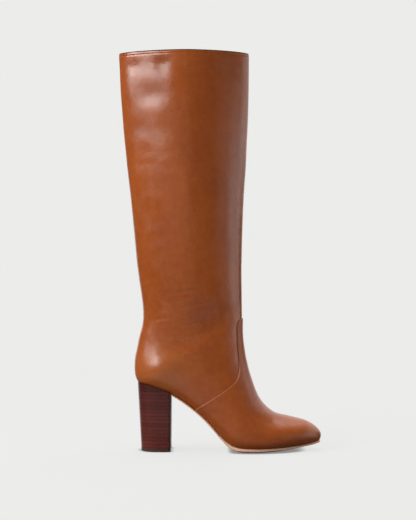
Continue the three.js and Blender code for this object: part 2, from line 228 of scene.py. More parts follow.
class Form:
    """The shape that last and leg block give the leather, as sections that fan round the ankle."""

    def __init__(self, rows: Sequence[Sequence[float]], underside: Underside) -> None:
        """Keeps the table's columns and finds where the underside cuts the form.

        Args:
            rows: The sections, as in FORM_ROWS.
            underside: What the form stands on.
        """
        self._table = dict(zip(FORM_COLUMNS, np.array(rows, float).T))
        self.underside = underside
        fine = np.linspace(0, LAST_ROW, 1200)
        front = np.column_stack([self.value("front_x", fine), self.value("front_z", fine)])
        back = np.column_stack([self.value("back_x", fine), self.value("back_z", fine)])
        step = np.maximum(*(np.linalg.norm(np.diff(line, axis=0), axis=1) for line in (front, back)))
        self._fine, self._gone = fine, np.concatenate([[0.0], np.cumsum(step)])

    def value(self, name: str, u: Array) -> Array:
        """A column of the table at u, counted in rows, on a Catmull-Rom curve.

        Args:
            name: The column's name.
            u: Places along the form, 0 at the collar and LAST_ROW at the toe.

        Returns:
            The column's value at each place.
        """
        rows = self._table[name]
        u = np.asarray(u, float)
        i = np.clip(np.floor(u).astype(int), 0, len(rows) - 2)
        t = u - i
        b, c = rows[i], rows[i + 1]
        a = np.where(i > 0, rows[np.maximum(i - 1, 0)], 2 * b - c)
        d = np.where(i + 2 < len(rows), rows[np.minimum(i + 2, len(rows) - 1)], 2 * c - b)
        return catmull_rom(a, b, c, d, t)

    def base(self, u: Array, turn: Array) -> Array:
        """Points of the form.

        Args:
            u: Places along the form.
            turn: Angles round each section: 0 is the front and a quarter turn the outer side.

        Returns:
            The points in millimetres, one a row.
        """
        v = {name: self.value(name, u) for name in FORM_COLUMNS}
        cos, sin = np.cos(turn), np.sin(turn)
        power = 2 / np.where(cos >= 0, v["front_power"], v["back_power"])
        along = np.abs(cos) ** power
        share = np.where(cos >= 0, v["widest"] + (1 - v["widest"]) * along, v["widest"] * (1 - along))
        reach = np.where(sin > 0, -v["lateral"], v["medial"]) * np.abs(sin) ** power
        return np.stack([
            v["back_x"] + (v["front_x"] - v["back_x"]) * share,
            v["axis"] + v["lean"] * share + reach,
            v["back_z"] + (v["front_z"] - v["back_z"]) * share,
        ], axis=-1)

    def slopes(self, u: Array, turn: Array) -> tuple[Array, Array, Array]:
        """The form's directions along and around at each point, and its normal.

        Args:
            u: Places along the form.
            turn: Angles round each section.

        Returns:
            The change per row, the change per radian, and the unit normal, one a row each.
        """
        near = np.clip(u, NUDGE, LAST_ROW - 2 * NUDGE)
        along = (self.base(near + NUDGE, turn) - self.base(near - NUDGE, turn)) / (2 * NUDGE)
        around = (self.base(near, turn + NUDGE) - self.base(near, turn - NUDGE)) / (2 * NUDGE)
        normal = np.cross(around, along)
        return along, around, normal / np.linalg.norm(normal, axis=-1, keepdims=True)

    def point(self, u: Array, turn: Array, offset: Array | float = 0.0) -> Array:
        """Points of the form, moved out square to its surface by offset."""
        return self.base(u, turn) + self.slopes(u, turn)[2] * np.asarray(offset)[..., None]

    def steps(self, start: float, end: float, pitch: float) -> Array:
        """Places along the form no further apart than a pitch on its longer side.

        Args:
            start: The first place.
            end: The last place.
            pitch: The spacing in millimetres.

        Returns:
            The places, as u.
        """
        first, last = np.interp([start, end], self._fine, self._gone)
        count = max(int(math.ceil((last - first) / pitch)), 2)
        return np.interp(np.linspace(first, last, count + 1), self._gone, self._fine)

    def locate(self, x: Array, z: Array) -> tuple[Array, Array]:
        """The place and turn of points given by where they are seen from the side.

        Args:
            x: How far along the boot, in millimetres.
            z: How high.

        Returns:
            u and the turn, as for the outer side.
        """
        low, high = np.zeros_like(x), np.full_like(x, LAST_ROW - NUDGE)
        for _ in range(40):
            middle = (low + high) / 2
            bx, bz = self.value("back_x", middle), self.value("back_z", middle)
            fx, fz = self.value("front_x", middle), self.value("front_z", middle)
            below = (fx - bx) * (z - bz) - (fz - bz) * (x - bx) < 0
            low, high = np.where(below, middle, low), np.where(below, high, middle)
        reach = np.hypot(fx - bx, fz - bz)
        share = np.clip(((x - bx) * (fx - bx) + (z - bz) * (fz - bz)) / reach**2, 0.0, 1.0)
        widest = self.value("widest", middle)
        ahead = np.clip((share - widest) / (1 - widest), 0, 1) ** (self.value("front_power", middle) / 2)
        behind = np.clip(1 - share / widest, 0, 1) ** (self.value("back_power", middle) / 2)
        return middle, np.where(share >= widest, np.arccos(ahead), math.pi - np.arccos(behind))

    def feather(self, u: Array, side: int, offset: float = 0.0, height: float = 0.0) -> Array:
        """The turn at which the form meets the underside.

        Args:
            u: Places along the form.
            side: 1 on the outer side and -1 on the inner one.
            offset: How far the form is grown.
            height: How far over the underside.

        Returns:
            The turn without its sign. It is pi where the form stays above the underside.
        """
        low, high = np.full_like(u, math.pi / 2), np.full_like(u, math.pi)
        for _ in range(24):
            middle = (low + high) / 2
            p = self.point(u, side * middle, offset)
            above = p[..., 2] > self.underside.seat(p[..., 0]) + height
            low, high = np.where(above, middle, low), np.where(above, high, middle)
        return (low + high) / 2

    def rest_on_seat(self, points: Array, height: float, softness: float = 0.45) -> Array:
        """Points with none below the underside: the leather turns in there in a soft bend.

        Args:
            points: The points in millimetres.
            height: How far over the underside they may come.
            softness: The size of the bend in millimetres.

        Returns:
            The points, moved.
        """
        floor = self.underside.seat(points[..., 0]) + height
        over = np.clip((points[..., 2] - floor) / softness, -30, 30)
        moved = points.copy()
        moved[..., 2] = np.where(over < 20, floor + softness * np.log1p(np.exp(over)), points[..., 2])
        return moved

    def outline(self, offset: float, height: float, count: int = 160) -> dict[int, Array]:
        """The form's outline on the underside, as x and y for each side.

        Args:
            offset: How far the form is grown.
            height: How far over the underside.
            count: How many places to take along it.

        Returns:
            For 1, the outer side, and -1, the inner one, points from heel to toe.
        """
        u = np.linspace(7.6, LAST_ROW - 0.01, count)
        lines = {}
        for side in (1, -1):
            turn = self.feather(u, side, offset, height)
            open_ended = turn < math.pi - CLOSED
            open_ended[: count // 2] = True
            p = self.point(u, side * turn, offset)[open_ended]
            rising = np.concatenate([[True], np.diff(np.maximum.accumulate(p[:, 0])) > 0.02])
            lines[side] = p[rising][:, :2]
        return lines


UNDERSIDE = Underside(SOLE_ROWS)
FORM = Form(FORM_ROWS, UNDERSIDE)


# ---------------------------------------------------------------- folds and dents in the leather
class Side(Enum):
    """The sides of the boot that a fold or a dent is on."""

    OUTER = -1
    BOTH = 0
    INNER = 1

    def share(self, y: Array) -> Array:
        """How far points at y belong to this side, from 0 to 1."""
        return smooth_step(-4.0, 10.0, self.value * y) if self.value else np.ones_like(y)


@dataclass(frozen=True)
class Fold:
    """A soft crease: a trough with a low ridge along each side, on an arc seen from the side."""

    side: Side
    start: tuple[float, float]
    end: tuple[float, float]
    sag: float
    width: float
    depth: float

    def relief(self, x: Array, y: Array, z: Array) -> Array:
        """How far the fold lifts the leather at each point, in millimetres.

        Args:
            x: How far along the boot the points are, in millimetres.
            y: How far to the inner side.
            z: How high.

        Returns:
            The lift at each point.
        """
        dx, dz = self.end[0] - self.start[0], self.end[1] - self.start[1]
        length = math.hypot(dx, dz)
        along = ((x - self.start[0]) * dx + (z - self.start[1]) * dz) / length**2
        across = ((z - self.start[1]) * dx - (x - self.start[0]) * dz) / length
        across = across - 4 * self.sag * along * (1 - along)
        fade = smooth_step(0.0, 0.3, along) * smooth_step(1.0, 0.7, along) * self.side.share(y)
        trough = -np.exp(-((across / self.width) ** 2))
        ridges = sum(np.exp(-(((across - k * 1.8 * self.width) / (1.1 * self.width)) ** 2)) for k in (1, -1))
        return self.depth * fade * (trough + 0.42 * ridges)


@dataclass(frozen=True)
class Dent:
    """A shallow hollow, or a swelling where its depth is below nothing."""

    side: Side
    centre: tuple[float, float]
    size: tuple[float, float]
    depth: float
    tilt: float = 0.0

    def relief(self, x: Array, y: Array, z: Array) -> Array:
        """How far the dent lifts the leather at each point, in millimetres.

        Args:
            x: How far along the boot the points are, in millimetres.
            y: How far to the inner side.
            z: How high.

        Returns:
            The lift at each point.
        """
        cos, sin = math.cos(math.radians(self.tilt)), math.sin(math.radians(self.tilt))
        dx, dz = x - self.centre[0], z - self.centre[1]
        a, b = (dx * cos + dz * sin) / self.size[0], (dz * cos - dx * sin) / self.size[1]
        return -self.depth * np.exp(-(a * a + b * b)) * self.side.share(y)


RELIEF: tuple[Fold | Dent, ...] = (
    # the slack upper shaft
    Dent(Side.OUTER, (-30, 476), (14, 11), 0.8, 4),
    Dent(Side.OUTER, (7, 477), (12, 15), 1.1, -6),
    Dent(Side.OUTER, (-3, 440), (26, 12), 0.75, 6),
    Dent(Side.OUTER, (34, 464), (11, 20), 0.55, 10),
    Dent(Side.OUTER, (24, 452), (14, 26), -0.4, 4),
    Dent(Side.OUTER, (-30, 438), (10, 14), -0.4, 20),
    Dent(Side.OUTER, (-22, 402), (17, 12), 0.35, -12),
    Dent(Side.OUTER, (12, 396), (26, 14), 0.3, 12),
    Dent(Side.OUTER, (62, 440), (18, 34), 0.6, 6),
    Dent(Side.INNER, (10, 446), (26, 14), 1.0, -8),
    Dent(Side.INNER, (-22, 470), (18, 12), 0.8, 10),
    Dent(Side.INNER, (48, 404), (30, 18), 0.7, 12),
    # faint bends across the calf
    Fold(Side.OUTER, (-34, 352), (8, 357), 1.5, 4.5, 0.1),
    Fold(Side.OUTER, (-4, 362), (34, 378), -2.0, 4.0, 0.1),
    Fold(Side.OUTER, (-27, 276), (18, 282), 2.0, 4.5, 0.1),
    Fold(Side.INNER, (-34, 360), (40, 372), 2.0, 4.0, 0.16),
    Fold(Side.INNER, (-26, 282), (34, 276), -2.0, 4.0, 0.16),
    # the counter stands out over the heel, and the toe over its puff
    Dent(Side.OUTER, (7, 101), (27, 19), -3.7, 6),
    Dent(Side.INNER, (-1, 100), (24, 16), -2.8, 4),
    Dent(Side.BOTH, (188, 32), (30, 12), -0.4, -16),
    # the ankle
    Fold(Side.OUTER, (10, 194), (72, 201), 2.5, 2.2, 0.34),
    Fold(Side.OUTER, (22, 176), (80, 187), 2.0, 2.0, 0.34),
    Fold(Side.OUTER, (-8, 162), (34, 166), 2.0, 2.2, 0.34),
    Fold(Side.OUTER, (30, 157), (74, 168), -1.5, 2.0, 0.34),
    Fold(Side.OUTER, (-4, 137), (26, 130), 2.0, 2.0, 0.22),
    Fold(Side.OUTER, (22, 137), (56, 128), -2.0, 2.0, 0.34),
    Fold(Side.OUTER, (28, 122), (60, 112), -3.0, 1.9, 0.34),
    Fold(Side.INNER, (0, 190), (66, 198), 2.5, 2.2, 0.24),
    Fold(Side.INNER, (14, 172), (76, 186), -2.0, 2.0, 0.24),
    Fold(Side.INNER, (-12, 142), (30, 134), 2.5, 2.0, 0.36),
    Fold(Side.INNER, (8, 130), (50, 120), 2.0, 2.0, 0.24),
)


# the waves of slack leather, as their length and height in millimetres
WAVES = ((34.0, 0.24), (13.0, 0.06))


def relief_at(points: Array) -> Array:
    """How far the leather stands off the form where it has been worn and handled.

    Args:
        points: Points of the form in millimetres.

    Returns:
        The offset at each point, in millimetres.
    """
    x, y, z = points[..., 0].ravel(), points[..., 1].ravel(), points[..., 2].ravel()
    total = sum(item.relief(x, y, z) for item in RELIEF)
    # the foot is lasted tight, so the waves calm down below the ankle
    slack = 0.25 + 0.75 * smooth_step(70.0, 150.0, z)
    for size, height in WAVES:
        total = total + slack * height * np.array([
            noise.noise(Vector((a / size, b / size + 7.0, c / size))) for a, b, c in zip(x, y, z)
        ])
    return total.reshape(points.shape[:-1])


# ---------------------------------------------------------------- modelling by hand
def select_only(obj: bpy.types.Object) -> None:
    """Makes an object the only one that operators act on.

    Args:
        obj: The object.
    """
    bpy.ops.object.select_all(action="DESELECT")
    obj.select_set(True)
    bpy.context.view_layer.objects.active = obj


def named_primitive(name: str) -> bpy.types.Object:
    """Names the primitive that has just been added and returns it.

    Args:
        name: Its name.

    Returns:
        The primitive.
    """
    obj = bpy.context.object
    obj.name = obj.data.name = name
    return obj


def vertex_places(obj: bpy.types.Object) -> Array:
    """The object's vertices, one a row, in metres.

    Args:
        obj: The object.

    Returns:
        The places.
    """
    flat = np.empty(len(obj.data.vertices) * 3)
    obj.data.vertices.foreach_get("co", flat)
    return flat.reshape(-1, 3)


def move_vertices(obj: bpy.types.Object, places: Array) -> None:
    """Puts the object's vertices at places given in millimetres."""
    obj.data.vertices.foreach_set("co", (np.asarray(places) * MM).ravel())
    obj.data.update()


def laid_sheet(name: str, places: Array) -> bpy.types.Object:
    """A grid of leather laid on its places, with the edges that meet joined.

    Args:
        name: The piece's name.
        places: The millimetre places of the grid's points, by row along the piece and column around it.

    Returns:
        The piece. Its faces point to the left of the rows' direction as seen along the columns.
    """
    rows, columns = places.shape[0] - 1, places.shape[1] - 1
    bpy.ops.object.select_all(action="DESELECT")
    bpy.ops.mesh.primitive_grid_add(x_subdivisions=columns, y_subdivisions=rows, size=1)
    obj = named_primitive(name)
    flat = vertex_places(obj)
    column = np.rint((flat[:, 0] + 0.5) * columns).astype(int)
    row = np.rint((flat[:, 1] + 0.5) * rows).astype(int)
    move_vertices(obj, places[row, column])
    return obj


def join_doubles(obj: bpy.types.Object) -> None:
    """Merges the piece's vertices that lie on each other."""
    in_edit_mode(obj, lambda: bpy.ops.mesh.remove_doubles(threshold=2e-6))


def in_edit_mode(obj: bpy.types.Object, work: Callable[[], object], vertices: Array | None = None) -> None:
    """Runs an operator on a piece in edit mode.

    Args:
        obj: The piece.
        work: Calls the operator.
        vertices: Which vertices are selected for it, as true or false for each. Without it, all faces are.
    """
    select_only(obj)
    bpy.ops.object.mode_set(mode="EDIT")
    bpy.ops.mesh.select_mode(type="FACE" if vertices is None else "VERT")
    bpy.ops.mesh.select_all(action="SELECT" if vertices is None else "DESELECT")
    if vertices is not None:
        bpy.ops.object.mode_set(mode="OBJECT")
        obj.data.vertices.foreach_set("select", vertices)
        bpy.ops.object.mode_set(mode="EDIT")
        bpy.ops.mesh.select_mode(type="EDGE")
    work()
    bpy.ops.object.mode_set(mode="OBJECT")


def face_centres(obj: bpy.types.Object) -> Array:
    """The middles of the piece's faces, one a row, in millimetres.

    Args:
        obj: The piece.

    Returns:
        The middles.
    """
    flat = np.empty(len(obj.data.polygons) * 3)
    obj.data.polygons.foreach_get("center", flat)
    return flat.reshape(-1, 3) / MM


def apply_modifier(obj: bpy.types.Object, kind: str, **settings: object) -> None:
    """Adds a modifier with its settings and applies it at once.

    Args:
        obj: The piece.
        kind: The modifier's type.
        settings: Its properties.
    """
    select_only(obj)
    modifier = obj.modifiers.new(kind.title(), kind)
    for key, value in settings.items():
        setattr(modifier, key, value)
    bpy.ops.object.modifier_apply(modifier=modifier.name)


def smooth(obj: bpy.types.Object, degrees: float = 35.0) -> None:
    """Shades the piece smooth, with edges sharper than an angle left crisp."""
    select_only(obj)
    bpy.ops.object.shade_smooth_by_angle(angle=math.radians(degrees))


def hand_over(obj: bpy.types.Object, slot: str, *nodes: str) -> None:
    """Fixes a finished piece to the boot.

    Args:
        obj: The piece.
        slot: The record's material slot it belongs to. It is not used.
        nodes: The plain solids that it stands for.
    """
    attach(obj, "root")
    if nodes:
        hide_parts(*nodes)
    LOG.info("%s: %d faces", obj.name, len(obj.data.polygons))


# ---------------------------------------------------------------- finishes
class Shader:
    """A material whose nodes are added and joined by short calls."""

    def __init__(self, name: str) -> None:
        """Starts the material with its shader and its Object coordinates.

        Args:
            name: The material's name.
        """
        self.material = bpy.data.materials.new(name)
        self.material.use_nodes = True
        self.nodes, self.links = self.material.node_tree.nodes, self.material.node_tree.links
        self.shader = self.nodes["Principled BSDF"]
        self.coordinates = self.node("ShaderNodeTexCoord").outputs["Object"]

    def node(self, kind: str, **settings: object) -> bpy.types.Node:
        """Adds a node of a kind and sets its properties.

        Args:
            kind: The node's type.
            settings: Its properties.

        Returns:
            The node.
        """
        node = self.nodes.new(kind)
        for key, value in settings.items():
            setattr(node, key, value)
        return node

    def feed(self, socket: bpy.types.NodeSocket, value: object) -> None:
        """Links a socket to another node's output, or sets its number or colour.

        Args:
            socket: The socket.
            value: The output, the number or the colour.
        """
        if isinstance(value, bpy.types.NodeSocket):
            self.links.new(value, socket)
        elif isinstance(value, tuple) and len(value) == 3 and socket.type == "RGBA":
            socket.default_value = (*value, 1.0)
        else:
            socket.default_value = value

    def set(self, **inputs: object) -> None:
        """Feeds the shader's inputs, named in small letters with underscores."""
        for key, value in inputs.items():
            self.feed(self.shader.inputs[key.replace("_", " ").title().replace("Ior", "IOR")], value)

    def stretched(self, size: tuple[float, float, float], turn: float = 0.0) -> bpy.types.NodeSocket:
        """Object coordinates counted in lengths of size, in millimetres, turned about Y by degrees.

        Args:
            size: The length that counts as one, for each axis.
            turn: The turn in degrees.

        Returns:
            The coordinates.
        """
        mapping = self.node("ShaderNodeMapping")
        self.links.new(self.coordinates, mapping.inputs["Vector"])
        mapping.inputs["Rotation"].default_value = (0.0, math.radians(turn), 0.0)
        mapping.inputs["Scale"].default_value = tuple(1 / (s * MM) for s in size)
        return mapping.outputs["Vector"]

    def noise(self, size: float | tuple[float, float, float], detail: float = 3.0, turn: float = 0.0,
              distortion: float = 0.0) -> bpy.types.NodeSocket:
        """Cloudy noise from 0 to 1.

        Args:
            size: The width of its clouds in millimetres, or one for each axis.
            detail: How many finer layers it has.
            turn: A turn about Y in degrees.
            distortion: How far it swirls.

        Returns:
            The noise.
        """
        size = size if isinstance(size, tuple) else (size, size, size)
        noise_node = self.node("ShaderNodeTexNoise")
        self.links.new(self.stretched(size, turn), noise_node.inputs["Vector"])
        noise_node.inputs["Scale"].default_value = 1.0
        noise_node.inputs["Detail"].default_value = detail
        noise_node.inputs["Distortion"].default_value = distortion
        return noise_node.outputs["Fac"]

    def cells(self, size: float) -> bpy.types.NodeSocket:
        """How far it is to the middle of the nearest of small cells, of a size in millimetres.

        Args:
            size: The cells' size in millimetres.

        Returns:
            The distance, in cells.
        """
        cell = self.node("ShaderNodeTexVoronoi")
        self.links.new(self.stretched((size, size, size)), cell.inputs["Vector"])
        cell.inputs["Scale"].default_value = 1.0
        return cell.outputs["Distance"]

    def attribute(self, name: str) -> bpy.types.NodeSocket:
        """A number stored on the piece's vertices."""
        return self.node("ShaderNodeAttribute", attribute_name=name).outputs["Fac"]

    def place(self, axis: str = "Z") -> bpy.types.NodeSocket:
        """One of the Object coordinates, in metres: the height, unless another axis is named.

        Args:
            axis: X, Y or Z.

        Returns:
            The coordinate.
        """
        split = self.node("ShaderNodeSeparateXYZ")
        self.links.new(self.coordinates, split.inputs["Vector"])
        return split.outputs[axis]

    def between(self, value: bpy.types.NodeSocket, low: float, high: float, start: float = 0.0,
                end: float = 1.0) -> bpy.types.NodeSocket:
        """The value moved from the span low to high onto start to end, and held there.

        Args:
            value: The value.
            low: Where its span begins.
            high: Where its span ends.
            start: What low becomes.
            end: What high becomes.

        Returns:
            The new value.
        """
        span = self.node("ShaderNodeMapRange")
        for name, number in (("From Min", low), ("From Max", high), ("To Min", start), ("To Max", end)):
            span.inputs[name].default_value = number
        self.links.new(value, span.inputs["Value"])
        return span.outputs["Result"]

    def maths(self, operation: str, first: object, second: object) -> bpy.types.NodeSocket:
        """Two numbers put together by an operation.

        Args:
            operation: The operation's name.
            first: A number or an output.
            second: Another.

        Returns:
            The result.
        """
        node = self.node("ShaderNodeMath", operation=operation)
        self.feed(node.inputs[0], first)
        self.feed(node.inputs[1], second)
        return node.outputs["Value"]

    def product(self, *values: bpy.types.NodeSocket) -> bpy.types.NodeSocket:
        """All the values multiplied together.

        Args:
            values: The values.

        Returns:
            Their product.
        """
        total = values[0]
        for value in values[1:]:
            total = self.maths("MULTIPLY", total, value)
        return total

    def mix(self, factor: object, first: object, second: object, share: float = 1.0) -> bpy.types.NodeSocket:
        """Two colours mixed by a share of a factor.

        Args:
            factor: How much of the second colour shows, from 0 to 1.
            first: The first colour.
            second: The second colour.
            share: The share of the factor that is taken.

        Returns:
            The mixed colour.
        """
        node = self.node("ShaderNodeMix", data_type="RGBA")
        factor = self.maths("MULTIPLY", factor, share) if share != 1.0 else factor
        self.feed(node.inputs[0], factor)
        self.feed(node.inputs[6], first)
        self.feed(node.inputs[7], second)
        return node.outputs[2]

    def bump(self, heights: Sequence[tuple[bpy.types.NodeSocket, float]]) -> None:
        """Gives the shader a relief.

        Args:
            heights: Patterns from 0 to 1, each with its height in millimetres.
        """
        normal = None
        for pattern, height in heights:
            node = self.node("ShaderNodeBump")
            node.inputs["Distance"].default_value = height * MM
            self.links.new(pattern, node.inputs["Height"])
            if normal:
                self.links.new(normal, node.inputs["Normal"])
            normal = node.outputs["Normal"]
        self.links.new(normal, self.shader.inputs["Normal"])


@dataclass(frozen=True)
class CalfLeather:
    """A smooth calf, aniline dyed and waxed, a little paler where it is stretched over a ridge, and darker in
    its hollows and creases as painted shade.

    Creases and pebble are the heights of its fine relief in millimetres. A pared edge shows pale cut leather
    up to cut_highlight_to, partly its own colour and partly a painted highlight, and dark ink from
    shadow_ink_from up, a painted shadow line; both heights in metres.
    """

    name: str
    base: Colour
    deep: Colour
    pale: Colour
    roughness: float = 0.24
    gloss: float = 0.6
    creases: float = 0.22
    pebble: float = 0.075
    # the pared edge's colours: pale cut leather, partly a painted highlight, and dark ink that paints a
    # shadow line
    cut: Colour = (0.58, 0.27, 0.14)
    shadow_ink: Colour = (0.07, 0.012, 0.004)
    cut_highlight_to: float = 0.096
    shadow_ink_from: float = 0.112

    def make(self) -> bpy.types.Material:
        """The leather's material.

        Returns:
            The material.
        """
        s = Shader(self.name)
        clouds = s.between(s.noise((46.0, 46.0, 80.0), 4.0, 14.0), 0.38, 0.66)
        mottle = s.between(s.noise(7.0, 6.0), 0.38, 0.64)
        streaks = s.between(s.noise((3.2, 3.2, 26.0), 4.0, -10.0), 0.42, 0.66)
        colour = s.mix(clouds, self.base, self.deep, 0.55)
        colour = s.mix(mottle, colour, self.pale, 0.24)
        colour = s.mix(streaks, colour, self.deep, 0.14)
        relief = s.attribute("relief")
        # ridges are paler, as stretched leather is; hollows and creases are darker, which is painted shade
        colour = s.mix(s.between(relief, 0.05, 0.9, 0.0, 0.35), colour, self.pale)
        colour = s.mix(s.between(relief, -0.1, -0.9, 0.0, 0.5), colour, self.deep)
        pores = s.between(s.cells(0.9), 0.05, 0.35)
        colour = s.mix(s.maths("SUBTRACT", 1.0, pores), colour, self.deep, 0.22)
        rough = s.between(s.noise(18.0, 4.0), 0.3, 0.7, self.roughness - 0.05, self.roughness + 0.07)
        edge, height = s.attribute("edge"), s.place()
        # on the pared edge: pale cut leather below, partly a painted highlight, and dark ink above, a painted
        # shadow line up the tab
        cut_highlight = s.between(height, self.shadow_ink_from, self.cut_highlight_to)
        inked = s.between(height, self.cut_highlight_to, self.shadow_ink_from, 0.0, 0.95)
        colour = s.mix(s.maths("MULTIPLY", edge, cut_highlight), colour, self.cut)
        colour = s.mix(s.maths("MULTIPLY", edge, inked), colour, self.shadow_ink)
        s.set(base_color=colour, roughness=rough)
        s.shader.inputs["Specular IOR Level"].default_value = self.gloss
        s.bump((
            (s.noise(11.0, 3.0), 0.16),
            (s.noise((3.4, 3.4, 2.2), 5.0, 12.0, 0.4), self.pebble),
            (self.ankle_creases(s), self.creases),
            (s.between(s.cells(0.75), 0.0, 0.6), 0.02),
        ))
        return s.material

    @staticmethod
    def ankle_creases(s: Shader) -> bpy.types.NodeSocket:
        """Fine broken creases that lie across the ankle, from 0 to 1.

        Args:
            s: The shader that they are added to.

        Returns:
            The creases.
        """
        swirl = s.noise((12.0, 12.0, 3.4), 2.0, 9.0, 0.4)
        height, along = s.place(), s.place("X")
        masks = (
            # a line wherever the swirl is near its middle
            s.between(swirl, 0.42, 0.5), s.between(swirl, 0.58, 0.5),
            # broken into patches
            s.between(s.noise((24.0, 24.0, 12.0), 2.0), 0.32, 0.62),
            # and faded out above, below, before and behind the ankle, in metres
            s.between(height, 0.094, 0.125), s.between(height, 0.225, 0.185),
            s.between(along, 0.085, 0.06), s.between(along, 0.0, 0.03),
        )
        return s.product(*masks)


@dataclass(frozen=True)
class LiningLeather:
    """A pale pigskin lining with its fine pores."""

    name: str
    base: Colour
    deep: Colour

    def make(self) -> bpy.types.Material:
        """The lining's material.

        Returns:
            The material.
        """
        s = Shader(self.name)
        colour = s.mix(s.between(s.noise(30.0, 4.0), 0.35, 0.7), self.base, self.deep)
        pores = s.between(s.cells(1.4), 0.06, 0.2)
        colour = s.mix(s.maths("SUBTRACT", 1.0, pores), colour, self.deep, 0.5)
        s.set(base_color=colour, roughness=s.between(s.noise(12.0), 0.3, 0.7, 0.52, 0.68))
        s.bump(((s.noise(3.0, 4.0), 0.08), (pores, 0.03)))
        return s.material


@dataclass(frozen=True)
class SoleLeather:
    """Oak-bark sole leather: its fibres show on the trimmed edge, and wear marks underneath."""

    name: str
    base: Colour
    deep: Colour
    roughness: float
    waist: Colour | None = None

    def make(self) -> bpy.types.Material:
        """The sole leather's material.

        Returns:
            The material.
        """
        s = Shader(self.name)
        fibres = s.between(s.noise((6.0, 6.0, 0.5), 4.0), 0.35, 0.7)
        stains = s.between(s.noise(28.0, 5.0), 0.4, 0.72)
        colour = s.mix(fibres, self.base, self.deep, 0.3)
        colour = s.mix(stains, colour, self.deep, 0.3)
        if self.waist:
            colour = s.mix(s.between(s.place("X"), 0.047, 0.042), colour, self.waist)
        s.set(base_color=colour, coat_weight=0.15, coat_roughness=0.3,
              roughness=s.between(s.noise(8.0), 0.3, 0.7, self.roughness - 0.06, self.roughness + 0.08))
        s.bump(((fibres, 0.05), (s.noise(1.2, 3.0), 0.03)))
        return s.material


@dataclass(frozen=True)
class StackLeather:
    """Stacked leather seen on its cut edge, stained and polished, each lift with its own tone.

    Where it is glued, a dark line shows at each joint: the first joint is first_joint over the floor and the
    others follow at pitch, in millimetres. A line is full to solid_line from its joint and gone at line, in
    metres.
    """

    name: str
    base: Colour
    deep: Colour
    roughness: float
    gloss: float = 0.3
    glued: bool = True
    glue: Colour = (0.02, 0.005, 0.004)
    first_joint: float = 5.0
    pitch: float = 4.35
    solid_line: float = 0.0002
    line: float = 0.0004

    def make(self, tone: float) -> bpy.types.Material:
        """The material of one lift.

        Args:
            tone: How dark it is, from 0 to 1: its stain, and on the heel also a painted reflection of the
                floor, paler on the lower lifts.

        Returns:
            The material.
        """
        s = Shader(self.name)
        fibres = s.between(s.noise((3.0, 3.0, 0.35), 4.0), 0.35, 0.7)
        colour = s.mix(tone, self.base, self.deep)
        colour = s.mix(fibres, colour, self.deep, 0.35)
        if self.glued:
            colour = s.mix(self.joints(s), colour, self.glue, 0.6)
        s.set(base_color=colour,
              roughness=s.between(s.noise(6.0), 0.3, 0.7, self.roughness - 0.05, self.roughness + 0.08))
        s.shader.inputs["Specular IOR Level"].default_value = self.gloss
        s.bump(((fibres, 0.025),))
        return s.material

    def joints(self, s: Shader) -> bpy.types.NodeSocket:
        """1 on the lines between the lifts and 0 off them.

        Args:
            s: The shader that they are added to.

        Returns:
            The lines.
        """
        pitch = self.pitch * MM
        over_joint = s.maths("MODULO", s.maths("SUBTRACT", s.place(), self.first_joint * MM), pitch)
        above = s.between(over_joint, self.line, self.solid_line)
        below = s.between(over_joint, pitch - self.line, pitch - self.solid_line)
        return s.maths("MAXIMUM", above, below)


@dataclass(frozen=True)
class HeelRubber:
    """The hard rubber of the top piece, dusty from the floor."""

    name: str
    base: Colour
    dust: Colour

    def make(self) -> bpy.types.Material:
        """The rubber's material.

        Returns:
            The material.
        """
        s = Shader(self.name)
        dust = s.between(s.place(), 0.0035, 0.0, 0.1, 0.6)
        worn = s.maths("MULTIPLY", s.between(s.noise(3.0, 5.0), 0.35, 0.65), dust)
        s.set(base_color=s.mix(worn, self.base, self.dust), roughness=s.between(worn, 0.0, 0.6, 0.45, 0.7))
        s.bump(((s.noise(0.5, 3.0), 0.02),))
        return s.material


@dataclass(frozen=True)
class LinenThread:
    """Waxed linen thread, twisted."""

    name: str
    base: Colour
    deep: Colour

    def make(self) -> bpy.types.Material:
        """The thread's material.

        Returns:
            The material.
        """
        s = Shader(self.name)
        strands = s.between(s.noise((0.35, 0.35, 0.35), 2.0), 0.35, 0.65)
        s.set(base_color=s.mix(strands, self.base, self.deep), roughness=0.55, sheen_weight=0.2)
        s.bump(((strands, 0.05),))
        return s.material


# ---------------------------------------------------------------- threads
def stitched_line(name: str, path: Array, length: float, pitch: float, thickness: float) -> bpy.types.Object:
    """A row of stitches along a seam: one stitch, repeated and bent along the line.

    Args:
        name: The row's name.
        path: The seam's points in millimetres, one a row.
        length: How long a stitch shows.
        pitch: How far apart stitches begin.
        thickness: The thread's.

    Returns:
        The row as one mesh.
    """
    bpy.ops.object.select_all(action="DESELECT")
    bpy.ops.mesh.primitive_uv_sphere_add(segments=6, ring_count=6, radius=0.5 * MM)
    row = named_primitive(name)
    in_edit_mode(row, lambda: bpy.ops.transform.resize(value=(length, thickness, thickness)))
    curve = bpy.data.curves.new(name + "_line", "CURVE")
    curve.dimensions = "3D"
    spline = curve.splines.new("POLY")
    spline.points.add(len(path) - 1)
    spline.points.foreach_set("co", np.column_stack([path * MM, np.ones(len(path))]).ravel())
    line = bpy.data.objects.new(name + "_line", curve)
    bpy.context.scene.collection.objects.link(line)
    apply_modifier(row, "ARRAY", fit_type="FIT_CURVE", curve=line, use_relative_offset=False,
                   use_constant_offset=True, constant_offset_displace=(pitch * MM, 0, 0))
    apply_modifier(row, "CURVE", object=line, deform_axis="POS_X")
    bpy.data.objects.remove(line)
    smooth(row, 80.0)
    return row


